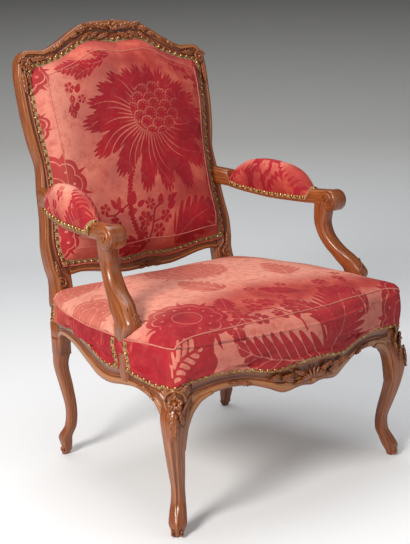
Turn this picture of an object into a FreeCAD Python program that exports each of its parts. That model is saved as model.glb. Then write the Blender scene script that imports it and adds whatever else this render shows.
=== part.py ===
import FreeCAD, Part
import math
import os
from FreeCAD import Vector

# Louis XV style open armchair with a flat back, in millimetres.
# X runs to the right as seen from the front, Y to the back and Z up.
# The model is laid out about the middle of the seat and moved at the end, so
# that the origin lies under the middle of the whole chair.

# Plan of the seat frame, measured on the outer faces of the wood
seat_front_half = 323.0
seat_front_y = -284.0
seat_rear_half = 274.0
seat_rear_y = 241.0
front_bow = 48.0
side_bow = 30.0

# Heights of the seat rails
rail_top = 372.0
front_lower_edge = 262.0
front_nail_height = 316.0
side_lower_edge = 285.0
side_nail_height = 328.0
rear_lower_edge = 300.0
rail_thickness = 34.0
rear_rail_thickness = 26.0

# Moulding shared by every show-wood member
bead = 6.0
hollow = 2.6
rebate = 4.0
gimp_half = 6.5

# Front legs
front_block = 46.0
front_knee_top = 262.0
front_block_cut = 0.08

# Rear legs with the back stiles
rear_block_inner = 250.0
rear_block_front = 203.0
rear_block_foot = 262.0
rear_block_lean = 10.0
rear_foot_half = 250.0
rear_foot_y = 259.0

# Back, on a plane that leans back from its lower edge
back_base_y = 240.0
back_base_z = 459.0
back_rake = 11.45
back_half = 270.0
back_thickness = 32.0
stile_foot_z = 384.0
stile_joint_z = 878.0
stile_band = 20.0
stile_ground = 28.0
stile_post_inner = 219.0
crest_height = 1006.0
crest_band = 29.0
crest_ground = 30.0
lower_rail_edge = 430.0
lower_rail_band = 19.0
lower_rail_top = 492.0
lower_rail_half = 212.0

# Arms and their supports
arm_width = 34.0
arm_end_half = 252.0
arm_end_y = 290.0
arm_end_taper = 6.0
arm_easing = 8.0
arm_show_height = 9.0
scroll_half = 315.0
scroll_y = -82.0
scroll_z = 582.0
scroll_radius = 25.0
scroll_width = 42.0
support_width = 38.0
support_foot_z = 315.0
support_foot_x = 322.0
support_foot_y = -131.0
support_foot_depth = 30.0
support_housing_wall = 8.0
support_easing = 9.0
support_dowel = 12.0
support_dowel_length = 20.0
dowel_x = 309.0
dowel_y = -60.0

# Joints
tenon_thickness = 10.0
tenon_height = 44.0
front_tenon_length = 25.0
side_tenon_length = 18.0
rear_tenon_length = 20.0
back_tenon_length = 30.0
back_tenon_width = 24.0
arm_tenon_length = 18.0
arm_tenon_height = 18.0
joint_clearance = 0.2
peg_diameter = 6.0
front_peg_length = 38.0
rear_peg_length = 24.0
back_peg_length = 24.0
corner_block_leg = 62.0
corner_block_height = 40.0
corner_block_z = 318.0

# Seat upholstery
webbing_width = 50.0
webbing_thickness = 1.4
webbing_gap = 0.3
lengthwise_straps = 6
crosswise_straps = 5
lengthwise_pitch = 72.0
crosswise_pitch = 78.0
crosswise_middle = -25.0
webbing_margin = 10.0
hessian_thickness = 1.0
cover_thickness = 2.5
soft_clearance = 0.3
seat_crown = 446.0
seat_seam_z = 396.0
seat_swell = 12.0
seat_skirt_z = 296.0
seat_rear_nail_z = 350.0
support_room_x = 302.0
support_room = 1.0

# Back upholstery
back_crown = 46.0
back_strap_pitch = 105.0
back_straps_up = 3
back_straps_across = 4
back_middle_z = 710.0
pad_edge_gap = 1.5
outside_panel_thickness = 2.0

# Arm pads
arm_pad_front_y = -14.0
arm_pad_rear_y = 222.0
arm_core_width = 26.0
arm_core_drop = 8.0

# Lines of the carved frame: share of the run, rise in millimetres
front_lower_line = [(0.0, -4), (0.1, 0), (0.27, -5), (0.4, 10), (0.55, 24), (0.72, 27), (0.88, 20), (1.0, 10)]
front_nail_line = [(0.0, 3), (0.13, 0), (0.3, -6), (0.5, 6), (0.68, 10), (0.84, 6), (1.0, 2)]
side_lower_line = [(0.0, -25), (0.06, -10), (0.16, 2), (0.26, -1), (0.38, -9), (0.48, -6), (0.6, 12),
                   (0.72, 29), (0.85, 36), (0.95, 32), (1.0, 18)]
side_nail_line = [(0.0, -15), (0.1, -18), (0.2, -12), (0.3, -6), (0.42, -8), (0.55, 14), (0.7, 28),
                  (0.85, 22), (1.0, 13)]
stile_wave = [(0.0, 3), (0.1, -3), (0.16, 2), (0.25, 4), (0.38, -5), (0.5, -9), (0.62, -15), (0.72, -6),
              (0.85, 1), (1.0, 3)]
stile_band_line = [(0.0, 8), (0.16, 8), (0.3, 2), (0.5, 0), (0.62, -6), (0.72, -1), (1.0, 0)]
crest_line = [(0.0, 4), (0.12, 6), (0.3, 0), (0.42, -15), (0.58, -40), (0.74, -58), (0.8, -60)]
crest_band_line = [(0.0, 8), (0.12, 6), (0.25, 0), (0.45, 2), (0.6, -3), (0.8, -7)]
lower_rail_line = [(0.0, -6), (0.3, -8), (0.5, -2), (0.72, 7), (0.9, 11), (1.0, 9)]
lower_band_line = [(0.0, 6), (0.4, 2), (0.7, -1), (1.0, -3)]

# Stations of the stiles by height, and of the crest by share of the half width
stile_stations = (stile_foot_z, 398, 412, 423, 434, 446, 460, 478, 500, 520, 548, 580, 620, 655, 685, 705, 722,
                  742, 770, 805, 840, stile_joint_z)
crest_stations = (0.74, 0.66, 0.57, 0.48, 0.39, 0.3, 0.2, 0.1, 0.03)
# Ear of the crest: outer point in and up from the joint, inner point in and up
ear_fan = [(0, 0, 0, 0), (1, 24, 1, 3), (8, 52, 3, 7), (24, 69, 8, 11), (46, 71, 16, 13)]

# Legs: height, swing out along the diagonal of the corner, side of the section
front_leg_swing = [(0.0, -10, 15), (10, -10, 22), (24, -12, 32), (42, -20, 31), (65, -31, 27), (95, -32, 25),
                   (125, -24, 29), (160, -13, 33), (195, -5, 37), (228, -3, 42), (front_knee_top - 12, -9, 49)]
rear_leg_swing = [(0.0, 0, 15), (12, -4, 20), (27, -4, 25), (46, -3, 29), (76, -17, 25), (120, -21, 24),
                  (178, -12, 28), (231, -2, 31)]

# Arms: distance from the middle of the seat against middle, underside and top
arm_middle_line = [(scroll_y, scroll_half), (-12, 309), (60, 299), (140, 289), (217, 273), (255, 259),
                   (arm_end_y, arm_end_half)]
arm_under_line = [(scroll_y, 566), (-40, 570), (20, 571), (100, 573), (140, 577), (185, 583), (241, 594),
                  (arm_end_y, 600)]
arm_over_line = [(scroll_y, 607), (-12, 605), (60, 607), (140, 615), (185, 623), (217, 631), (250, 637),
                 (arm_end_y, 641)]
pad_top_line = [(arm_pad_front_y, 606), (-5, 622), (12, 640), (40, 654), (80, 663), (130, 667), (170, 662),
                (200, 648), (214, 637), (arm_pad_rear_y, 629)]
pad_half_line = [(arm_pad_front_y, 15), (0, 20), (25, 24.5), (60, 27), (150, 27), (195, 24.5), (214, 20),
                 (arm_pad_rear_y, 16)]
# Arm supports: height, middle across and along, depth
support_swing = [(rail_top + 2, support_foot_x, support_foot_y, support_foot_depth), (388, 326, -132, 46),
                 (404, 330, -139, 58), (420, 329, -142, 62), (438, 325, -126, 68), (455, 319, -110, 64),
                 (472, 314, -89, 50), (498, 309, -68, 38), (527, 307, -57, 38), (556, 309, -57, 46),
                 (576, 310, -60, 52)]
# Crowns: drop from the top or share of the rise, swell of the sides, distance drawn in
seat_levels = [(43, 12, 0.5), (36, 10, 2), (29, 6, 7), (23, 2, 16), (17, 0, 32), (12, 0, 52), (7, 0, 85),
               (3, 0, 125), (0.8, 0, 165), (0, 0, 205)]
back_levels = [(0.22, 1), (0.42, 4), (0.58, 9), (0.72, 18), (0.84, 33), (0.93, 56), (0.985, 85), (1.0, 120)]

os.makedirs("parts", exist_ok=True)

rake = math.radians(back_rake)
LEFT = -1
RIGHT = 1
UP = Vector(0, 0, 1)
FRONT = Vector(0, -1, 0)
BACK_FRONT = Vector(0, -math.cos(rake), math.sin(rake))
BACK_UP = Vector(0, math.sin(rake), math.cos(rake))
back_mid = (back_thickness + rebate) / 2
seat_cover_out = cover_thickness + 1.3 - rebate
hessian_z = rail_top + (3 * webbing_thickness + webbing_gap) / 2 + 0.1
back_hessian_out = (3 * webbing_thickness + webbing_gap) / 2 + 0.1 - rebate


def smooth_line(points):
    """A smooth line through a few points, as a function."""
    xs = [p[0] for p in points]
    ys = [p[1] for p in points]
    slopes = []
    for i in range(len(xs)):
        low, high = max(i - 1, 0), min(i + 1, len(xs) - 1)
        slopes.append((ys[high] - ys[low]) / (xs[high] - xs[low]))

    def value(x):
        i = 0
        while i < len(xs) - 2 and x > xs[i + 1]:
            i += 1
        run = xs[i + 1] - xs[i]
        t = min(max((x - xs[i]) / run, 0.0), 1.0)
        rise = (2 * t ** 3 - 3 * t ** 2 + 1) * ys[i] + (3 * t ** 2 - 2 * t ** 3) * ys[i + 1]
        return rise + run * ((t ** 3 - 2 * t ** 2 + t) * slopes[i] + (t ** 3 - t ** 2) * slopes[i + 1])

    return value


def spread(start, end, count):
    """Even places from start to end, both included."""
    return [start + (end - start) * i / (count - 1) for i in range(count)]


def closed(points):
    """A closed outline of straight lines."""
    return Part.makePolygon(points + points[:1])


def prism(points, direction):
    """A straight solid on a closed outline."""
    return Part.Face(closed(points)).extrude(direction)


def box(x, y, z):
    """A box from three (low, high) pairs."""
    return Part.makeBox(x[1] - x[0], y[1] - y[0], z[1] - z[0], Vector(x[0], y[0], z[0]))


def loft(wires, ruled=False):
    return Part.makeLoft(wires, True, ruled)


def on_side(shape, side):
    """Right-hand pieces as they are, left-hand ones mirrored."""
    if side == RIGHT:
        return shape
    return shape.mirror(Vector(0, 0, 0), Vector(1, 0, 0))


def eased_wire(corners, cut):
    """A closed outline through four corners, each cut off."""
    points = []
    for i, here in enumerate(corners):
        before, after = corners[i - 1], corners[(i + 1) % len(corners)]
        points.append(here + (before - here).normalize() * cut)
        points.append(here + (after - here).normalize() * cut)
    return closed(points)


def level_square(x, y, z, side, cut_share=0.27):
    """A square with cut corners in plan, the section of a cabriole leg."""
    h = side / 2
    corners = [Vector(x + h, y - h, z), Vector(x + h, y + h, z), Vector(x - h, y + h, z), Vector(x - h, y - h, z)]
    return eased_wire(corners, side * cut_share)


def moulded_section(foot, across, front, width, band, thickness):
    """Section of a show-wood member: a bead along its free edge, a hollow
    face, a step down to the ground that the fabric is nailed to."""
    def at(w, q):
        return foot + across * w + front * q

    turn = bead * (1 - math.sqrt(0.5))
    return closed([at(0, -thickness), at(0, -bead), at(turn, -turn), at(bead, 0), at((bead + band) / 2, -hollow),
                   at(band, 0), at(band, -rebate), at(width, -rebate), at(width, -thickness)])


# Outer plan of the seat frame
def front_face_y(x):
    return seat_front_y - front_bow * math.cos(math.pi * x / (2 * seat_front_half)) ** 2


def side_share(y):
    return (y - seat_front_y) / (seat_rear_y - seat_front_y)


def side_face_x(y):
    t = side_share(y)
    return seat_front_half + (seat_rear_half - seat_front_half) * t + side_bow * math.sin(math.pi * t)


# Show-wood and nail lines of the seat
front_shoulder = seat_front_half - front_block
side_front_shoulder = seat_front_y + front_block
front_low = smooth_line(front_lower_line)
front_nail = smooth_line(front_nail_line)
side_low = smooth_line(side_lower_line)
side_nail = smooth_line(side_nail_line)


def front_low_z(x):
    return front_lower_edge + front_low(abs(x) / front_shoulder)


def front_nail_z(x):
    return front_nail_height + front_nail(min(abs(x) / seat_front_half, 1.0))


def side_low_z(y):
    return side_lower_edge + side_low((y - side_front_shoulder) / (rear_block_front - side_front_shoulder))


def side_nail_z(y):
    return side_nail_height + side_nail(min(max(side_share(y), 0.0), 1.0))


# Lines of the back
stile_edge = smooth_line(stile_wave)
stile_width = smooth_line(stile_band_line)
crest_edge = smooth_line(crest_line)
crest_width = smooth_line(crest_band_line)
lower_edge = smooth_line(lower_rail_line)
lower_width = smooth_line(lower_band_line)


def on_back(x, z, out=0.0):
    """A point of the back at height z, out of its front plane by a distance."""
    return Vector(x, back_base_y + (z - back_base_z) * math.tan(rake), z) + BACK_FRONT * out


def stile_share(z):
    return (z - stile_foot_z) / (stile_joint_z - stile_foot_z)


def stile_outer_x(z):
    return back_half + stile_edge(stile_share(z))


def stile_show_x(z):
    return stile_outer_x(z) - stile_band - stile_width(stile_share(z))


def crest_outer_z(x):
    return crest_height + crest_edge(abs(x) / back_half)


def crest_show_z(x):
    return crest_outer_z(x) - crest_band - crest_width(abs(x) / back_half)


def lower_edge_z(x):
    return lower_rail_edge + lower_edge(abs(x) / lower_rail_half)


def lower_show_z(x):
    return lower_edge_z(x) + lower_rail_band + lower_width(abs(x) / lower_rail_half)


# Joints: a tenon and its mortise come from the same function, with play for the mortise
def about(centre, size):
    return centre - size / 2, centre + size / 2


def tenon_box(x, y, z, play):
    return box(*[(low - play, high + play) for low, high in (x, y, z)])


front_tenon_y = front_face_y(front_shoulder) + rail_thickness / 2
front_tenon_z = (front_low_z(front_shoulder) + rail_top) / 2
side_front_tenon_x = side_face_x(side_front_shoulder) - rail_thickness / 2
side_rear_tenon_x = side_face_x(rear_block_front) - rail_thickness / 2
side_rear_tenon_z = (side_low_z(rear_block_front) + rail_top) / 2
rear_rail_y = seat_rear_y - rebate
rear_tenon_y = rear_rail_y - rear_rail_thickness / 2
arm_tenon_z = scroll_z + 36
arm_tenon_y = on_back(0, arm_tenon_z).y


def front_tenon(play=0.0):
    return tenon_box((front_shoulder - 2, front_shoulder + front_tenon_length),
                     about(front_tenon_y, tenon_thickness), about(front_tenon_z, tenon_height), play)


def side_front_tenon(play=0.0):
    return tenon_box(about(side_front_tenon_x, tenon_thickness),
                     (side_front_shoulder - side_tenon_length, side_front_shoulder + 2),
                     about(front_tenon_z, tenon_height), play)


def side_rear_tenon(play=0.0):
    return tenon_box(about(side_rear_tenon_x, tenon_thickness),
                     (rear_block_front - 2, rear_block_front + side_tenon_length),
                     about(side_rear_tenon_z, tenon_height), play)


def rear_tenon(play=0.0):
    return tenon_box((rear_block_inner - 2, rear_block_inner + rear_tenon_length),
                     about(rear_tenon_y, tenon_thickness), about(side_rear_tenon_z, tenon_height), play)


def arm_tenon(play=0.0):
    return tenon_box(about(arm_end_half, tenon_thickness), (arm_tenon_y - 6, arm_tenon_y + arm_tenon_length),
                     about(arm_tenon_z, arm_tenon_height), play)


def back_tenon(root, along, play):
    """A tenon that lies in the plane of the back, from the middle of its root."""
    across = along.cross(BACK_FRONT)
    width, depth = back_tenon_width + 2 * play, tenon_thickness + 2 * play
    start = root - along * 2 - across * (width / 2) - BACK_FRONT * (depth / 2)
    points = [start, start + across * width, start + across * width + BACK_FRONT * depth,
              start + BACK_FRONT * depth]
    return prism(points, along * (back_tenon_length + 2 + play))


def crest_tenon(play=0.0):
    x = (stile_outer_x(stile_joint_z) + stile_show_x(stile_joint_z) - stile_ground) / 2
    return back_tenon(on_back(x, stile_joint_z, -back_mid), BACK_UP, play)


def lower_rail_tenon(play=0.0):
    z = (lower_edge_z(lower_rail_half) + lower_rail_top) / 2
    return back_tenon(on_back(lower_rail_half, z, -back_mid), Vector(1, 0, 0), play)


def dowel_hole(play=0.0):
    """The dowel that stands on an arm support, or its hole in the arm."""
    return Part.makeCylinder(support_dowel / 2 + play, support_dowel_length + play,
                             Vector(dowel_x, dowel_y, scroll_z - scroll_radius + 2), UP)


def peg(start, along, length):
    """An eight-sided peg, flush with the face that it is driven into."""
    side = along.cross(UP if abs(along.z) < 0.5 else Vector(1, 0, 0)).normalize()
    other = along.cross(side)
    radius = peg_diameter / 2
    ring = []
    for i in range(8):
        turn = math.radians(22.5 + 45 * i)
        ring.append(start + side * (radius * math.cos(turn)) + other * (radius * math.sin(turn)))
    return prism(ring, along * length)


def joint_pegs():
    """Pegs of the right-hand joints, by the joint that each one pins."""
    step = tenon_height / 4
    back_face = back_thickness - back_mid
    crest_root = on_back((stile_outer_x(stile_joint_z) + stile_show_x(stile_joint_z) - stile_ground) / 2,
                         stile_joint_z, -back_mid) + BACK_UP * (back_tenon_length / 2)
    rail_root = on_back(lower_rail_half, (lower_edge_z(lower_rail_half) + lower_rail_top) / 2, -back_mid)
    rail_root = rail_root + Vector(back_tenon_length / 2, 0, 0)
    return {
        "front": peg(Vector(front_shoulder + front_tenon_length / 2, side_front_shoulder, front_tenon_z + step),
                     FRONT, front_peg_length),
        "side_front": peg(Vector(front_shoulder, side_front_shoulder - side_tenon_length / 2,
                                 front_tenon_z - step), Vector(1, 0, 0), front_peg_length),
        "side_rear": peg(Vector(rear_block_inner, rear_block_front + side_tenon_length / 2,
                                side_rear_tenon_z - step), Vector(1, 0, 0), rear_peg_length),
        "rear": peg(Vector(rear_block_inner + rear_tenon_length / 2, seat_rear_y + block_lean(side_rear_tenon_z),
                           side_rear_tenon_z + step), FRONT, rear_peg_length),
        "crest": peg(crest_root - BACK_FRONT * back_face, BACK_FRONT, back_peg_length),
        "lower": peg(rail_root - BACK_FRONT * back_face, BACK_FRONT, back_peg_length),
    }


def pinned(shape, pegs, *names):
    for name in names:
        shape = shape.cut(pegs[name])
    return shape


# Legs
def front_leg_blank():
    """Cabriole leg: sections that swing along the diagonal of the corner."""
    wires = []
    for z, out, size in front_leg_swing:
        reach = out * math.sqrt(0.5)
        wires.append(level_square(seat_front_half - 1 + reach, seat_front_y + 8 - reach, z, size))
    x, y = seat_front_half - front_block / 2, seat_front_y + front_block / 2
    start = front_knee_top + 18
    wires.append(level_square(x, y, start, front_block, front_block_cut))
    leg = loft(wires)
    leg = leg.fuse(loft([level_square(x, y, z, front_block, front_block_cut) for z in (start, rail_top)], True))
    outside = [Vector(front_shoulder - 5, seat_front_y + rebate, 290),
               Vector(seat_front_half - rebate, seat_front_y + rebate, 290),
               Vector(side_face_x(side_front_shoulder) - rebate, side_front_shoulder + 5, 290),
               Vector(seat_front_half + 60, side_front_shoulder + 5, 290),
               Vector(seat_front_half + 60, seat_front_y - 60, 290), Vector(front_shoulder - 5, seat_front_y - 60, 290)]
    return leg.cut(prism(outside, Vector(0, 0, 120)).cut(below_nails()))


def block_lean(z):
    """How far the back face of the rear leg leans behind the seat frame."""
    return rear_block_lean * (z - rear_block_foot) / (rail_top - rear_block_foot)


def rear_leg_blank():
    """Leg and back stile in one piece, raked above the seat and swung below it."""
    top_x = (rear_block_inner + side_face_x(seat_rear_y) + 4) / 2
    top_y = (rear_block_front + seat_rear_y) / 2
    wires = []
    for z, out, size in rear_leg_swing:
        t = z / rear_block_foot
        reach = out * math.sqrt(0.5)
        wires.append(level_square(rear_foot_half + (top_x - rear_foot_half) * t + reach,
                                  rear_foot_y + (top_y - rear_foot_y) * t + reach, z, size))

    def block(z):
        back = seat_rear_y + block_lean(z)
        corners = [Vector(side_face_x(rear_block_front), rear_block_front, z),
                   Vector(side_face_x(seat_rear_y), back, z), Vector(rear_block_inner, back, z),
                   Vector(rear_block_inner, rear_block_front, z)]
        return eased_wire(corners, 3)

    start = rear_block_foot + 16
    wires.append(block(start))
    leg = loft(wires).fuse(loft([block(start), block(rail_top)], True))
    ground = [Vector(side_face_x(y) - rebate, y, 310) for y in (rear_block_front - 5, seat_rear_y + 40)]
    outside = ground + [Vector(seat_front_half, seat_rear_y + 40, 310),
                        Vector(seat_front_half, rear_block_front - 5, 310)]
    leg = leg.cut(prism(outside, Vector(0, 0, 80)).cut(below_nails()))
    neck = []
    for z, inner in ((rail_top - 6, rear_block_inner + 1), (stile_foot_z + 4, stile_post_inner + 1)):
        near = on_back(0, z).y + 1
        far = near + back_thickness / math.cos(rake) - 2
        outer = side_face_x(seat_rear_y) - rebate - 1
        neck.append(closed([Vector(outer, near, z), Vector(outer, far, z), Vector(inner, far, z),
                            Vector(inner, near, z)]))
    leg = leg.fuse(loft(neck, True))
    sections = []
    for z in stile_stations:
        outer = stile_outer_x(z)
        inner = stile_show_x(z) - stile_ground
        if z < lower_edge_z(lower_rail_half):
            inner = stile_post_inner
        elif z < lower_rail_top + 10:
            inner = lower_rail_half
        sections.append(moulded_section(on_back(outer, z), Vector(-1, 0, 0), BACK_FRONT, outer - inner,
                                        outer - stile_show_x(z), back_thickness))
    return leg.fuse(loft(sections))


# Seat rails
def front_rail_blank():
    wires = []
    for x in spread(-front_shoulder, front_shoulder, 17):
        low = front_low_z(x)
        wires.append(moulded_section(Vector(x, front_face_y(x), low), UP, FRONT, rail_top - low,
                                     front_nail_z(x) - gimp_half - low, rail_thickness))
    return loft(wires)


def side_rail_blank():
    wires = []
    for y in spread(side_front_shoulder, rear_block_front, 15):
        low = side_low_z(y)
        wires.append(moulded_section(Vector(side_face_x(y), y, low), UP, Vector(1, 0, 0), rail_top - low,
                                     side_nail_z(y) - gimp_half - low, rail_thickness))
    return loft(wires)


def rear_rail_blank():
    return box((-rear_block_inner, rear_block_inner), (rear_rail_y - rear_rail_thickness, rear_rail_y),
               (rear_lower_edge, rail_top))


def below_nails(gap=0.0):
    """Space below the line where the seat cover ends, round the front and both sides."""
    margin = gimp_half - gap
    front = [Vector(x, seat_front_y + 20, front_nail_z(x) - margin) for x in spread(-400, 400, 33)]
    front += [Vector(400, seat_front_y + 20, 200), Vector(-400, seat_front_y + 20, 200)]
    space = prism(front, Vector(0, -150, 0))
    side_line = [Vector(220, y, side_nail_z(y) - margin) for y in spread(seat_front_y + 20, 300, 29)]
    side_line += [Vector(220, 300, 200), Vector(220, seat_front_y + 20, 200)]
    right = prism(side_line, Vector(200, 0, 0))
    return space.fuse(right).fuse(on_side(right, LEFT))


# Rails of the back
def crest_rail_blank():
    """A fan of sections round each ear, then straight across the top."""
    outer_x, inner_x = stile_outer_x(stile_joint_z), stile_show_x(stile_joint_z) - stile_ground
    chords = []
    for out_in, out_up, in_in, in_up in ear_fan:
        chords.append((outer_x - out_in, stile_joint_z + out_up, inner_x - in_in, stile_joint_z + in_up,
                       stile_band + in_up / 6))
    for share in crest_stations:
        x = share * back_half
        top, band = crest_outer_z(x), crest_outer_z(x) - crest_show_z(x)
        chords.append((x, top, x, top - band - crest_ground, band))
    wires = []
    for side in (RIGHT, LEFT):
        for start_x, start_z, end_x, end_z, band in (chords if side == RIGHT else reversed(chords)):
            start, end = on_back(side * start_x, start_z), on_back(side * end_x, end_z)
            across = (end - start).normalize()
            wires.append(moulded_section(start, across, BACK_FRONT, (end - start).Length, band, back_thickness))
    return loft(wires)


def lower_rail_blank():
    wires = []
    for x in spread(-lower_rail_half, lower_rail_half, 13):
        low = lower_edge_z(x)
        wires.append(moulded_section(on_back(x, low), BACK_UP, BACK_FRONT, (lower_rail_top - low) / math.cos(rake),
                                     (lower_show_z(x) - low) / math.cos(rake), back_thickness))
    return loft(wires)


# Arms
arm_x = smooth_line(arm_middle_line)
arm_under = smooth_line(arm_under_line)
arm_over = smooth_line(arm_over_line)
pad_top = smooth_line(pad_top_line)
pad_half = smooth_line(pad_half_line)


def arm_section(y, width, low, high, cut):
    x, h = arm_x(y), width / 2
    return eased_wire([Vector(x + h, y, low), Vector(x + h, y, high), Vector(x - h, y, high),
                       Vector(x - h, y, low)], cut)


def arm_blank():
    wires = []
    for y in (scroll_y + 10, -45, -15, 20, 60, 100, 140, 180, 215, 245, arm_end_y):
        width = arm_width - arm_end_taper * max(0, y - 215) / (arm_end_y - 215)
        wires.append(arm_section(y, width, arm_under(y), arm_over(y), arm_easing))
    scroll = Part.makeCylinder(scroll_radius, scroll_width,
                               Vector(scroll_half - scroll_width / 2, scroll_y, scroll_z), Vector(1, 0, 0))
    return loft(wires).fuse(scroll)


def arm_core(play=0.0):
    """The narrowed wood that an arm pad is nailed to."""
    wires = [arm_section(y, arm_core_width + 2 * play, arm_under(y) - 20, arm_over(y) - arm_core_drop + play, 5)
             for y in spread(arm_pad_front_y - 20, arm_pad_rear_y + 20, 6)]
    return loft(wires)


def arm_pad_zone():
    """Everything above the nail line of an arm pad."""
    points = [Vector(200, y, arm_under(y) + arm_show_height) for y in spread(arm_pad_front_y, arm_pad_rear_y, 9)]
    points += [Vector(200, arm_pad_rear_y, 720), Vector(200, arm_pad_front_y, 720)]
    return prism(points, Vector(200, 0, 0))


def arm_wood(stile):
    wood = arm_blank().cut(arm_pad_zone().cut(arm_core()))
    wood = wood.cut(stile).fuse(arm_tenon())
    return wood.cut(dowel_hole(joint_clearance))


def arm_pad_form(thin, sink):
    """A domed pad, thinner by one distance all round and set down below the nail line by another."""
    wires = []
    for share in (0.0, 0.035, 0.1, 0.22, 0.4, 0.6, 0.78, 0.9, 0.965, 1.0):
        y = arm_pad_front_y + thin + (arm_pad_rear_y - arm_pad_front_y - 2 * thin) * share
        x, half = arm_x(y), pad_half(y) - thin
        foot = arm_under(y) + arm_show_height + soft_clearance
        rise = pad_top(y) - thin - foot
        edge = arm_width / 2 - thin
        profile = [(edge, -sink), (max(edge, 0.97 * half), 0.25 * rise), (max(edge, half), 0.5 * rise),
                   (0.86 * half, 0.8 * rise), (0.48 * half, 0.97 * rise)]
        points = [Vector(x + w, y, foot + h) for w, h in profile]
        points += [Vector(x - w, y, foot + h) for w, h in reversed(profile)]
        wires.append(closed(points))
    return loft(wires)


def support_foot(play=0.0):
    """Lower end of an arm support, let into the side rail."""
    outer = support_foot_x + support_width / 2
    return box((outer - support_width + support_housing_wall - play, outer + play),
               (support_foot_y - support_foot_depth / 2 - play, support_foot_y + support_foot_depth / 2 + play),
               (support_foot_z - play, rail_top + 2))


def support_blank(play=0.0):
    """S-shaped support: sections that swing forward, then back down to the rail."""
    wires = []
    for z, x, y, depth in support_swing:
        w, h = support_width / 2 + play, depth / 2 + play
        wires.append(eased_wire([Vector(x + w, y - h, z), Vector(x + w, y + h, z), Vector(x - w, y + h, z),
                                 Vector(x - w, y - h, z)], support_easing))
    return loft(wires)


def corner_block(points, wood):
    """A glued block that fills the corner between the pieces of wood given."""
    block = prism(points, Vector(0, 0, corner_block_height))
    for piece in wood:
        block = block.cut(piece)
    return max(block.Solids, key=lambda solid: solid.Volume)


# Webbing
def strap(place, start, end, crossings, over, across):
    """A strap that goes over and under those it crosses, over being 1 or -1 at the first."""
    lift = (webbing_thickness + webbing_gap) / 2
    flat = webbing_width / 2 + 2
    course = [(start, 0.0)]
    for s in crossings:
        course += [(s - flat, lift * over), (s + flat, lift * over)]
        over = -over
    course.append((end, 0.0))
    points = [place(s, rise) for s, rise in course]
    points += [place(s, rise + webbing_thickness) for s, rise in reversed(course)]
    return prism(points, across)


def rows(count, pitch, middle=0.0):
    return [middle + (i - (count - 1) / 2) * pitch for i in range(count)]


def seat_straps():
    along, across = [], []
    xs = rows(lengthwise_straps, lengthwise_pitch)
    ys = rows(crosswise_straps, crosswise_pitch, crosswise_middle)
    half = webbing_width / 2
    for i, x in enumerate(xs):
        along.append(strap(lambda s, rise: Vector(x - half, s, rail_top + rise),
                           front_face_y(x) + webbing_margin, seat_rear_y - webbing_margin, ys, 1 - 2 * (i % 2),
                           Vector(webbing_width, 0, 0)))
    for j, y in enumerate(ys):
        reach = min(side_face_x(y - half), side_face_x(y + half)) - webbing_margin
        across.append(strap(lambda s, rise: Vector(s, y - half, rail_top + rise), -reach, reach, xs,
                            2 * (j % 2) - 1, Vector(0, webbing_width, 0)))
    return Part.makeCompound(along), Part.makeCompound(across)


def back_straps():
    up, across = [], []
    xs = rows(back_straps_up, back_strap_pitch)
    zs = rows(back_straps_across, back_strap_pitch, back_middle_z)
    half = webbing_width / 2
    for i, x in enumerate(xs):
        top = min(crest_show_z(x - half), crest_show_z(x + half)) - webbing_margin
        up.append(strap(lambda s, rise: on_back(x - half, s, rise - rebate),
                        lower_show_z(x) + webbing_margin, top, zs, 1 - 2 * (i % 2), Vector(webbing_width, 0, 0)))
    for j, z in enumerate(zs):
        reach = min(stile_show_x(z - half), stile_show_x(z + half)) - webbing_margin
        across.append(strap(lambda s, rise: on_back(s, z - half, rise - rebate), -reach, reach, xs,
                            2 * (j % 2) - 1, BACK_UP * webbing_width))
    return Part.makeCompound(up), Part.makeCompound(across)


# Seat upholstery
def seat_outline(z, out, swell=0.0):
    """Plan of the seat at a height: out of the wood's outer faces by a distance, swelling less at the back."""
    right = [(x, front_face_y(x)) for x in (0, 62, 124, 186, 245)]
    right += [(seat_front_half - 12, seat_front_y), (seat_front_half, seat_front_y + 12)]
    right += [(side_face_x(y), y) for y in (-235, -185, -135, -85, -30, 35, 100, 165, 220)]
    right.append((seat_rear_half - 4, seat_rear_y))
    points = []
    for x, y in right + [(-x, y) for x, y in reversed(right[1:])]:
        fade = 1 - 0.8 * min(max((y - 110) / 130, 0), 1)
        grow = out + swell * fade
        points.append(Vector(x * (1 + grow / seat_front_half), y + y * grow / abs(seat_front_y), z))
    return closed(points)


def seat_form(thin, foot, levels):
    """Straight skirt from the foot up to the seam, then the crown."""
    skirt = [seat_outline(z, seat_cover_out - thin, swell) for z, swell in foot + [(seat_seam_z, seat_swell)]]
    crown = [skirt[-1]]
    for drop, swell, inset in levels:
        crown.append(seat_outline(seat_crown - drop - thin, seat_cover_out - thin - inset, swell))
    return loft(skirt, True), loft(crown, True)


def post_spaces():
    """Room that the seat upholstery leaves for the back posts and the arm supports."""
    outer = seat_rear_half + 20
    low = box((rear_block_inner - 1, outer), (rear_block_front - 1, 400), (200, rail_top + 1))
    high = box((stile_post_inner - 1.5, outer), (on_back(0, rail_top).y - 1, 400), (rail_top, 600))
    course = [(support_foot_z, support_foot_y, support_foot_depth)]
    course += [(z, y, depth) for z, x, y, depth in support_swing[:6]]
    edge = [Vector(support_room_x, y + depth / 2 + support_room, z) for z, y, depth in course]
    edge += [Vector(support_room_x, y - depth / 2 - support_room, z) for z, y, depth in reversed(course)]
    room = low.fuse(high).fuse(prism(edge, Vector(100, 0, 0)))
    return room.fuse(on_side(room, LEFT))


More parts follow.
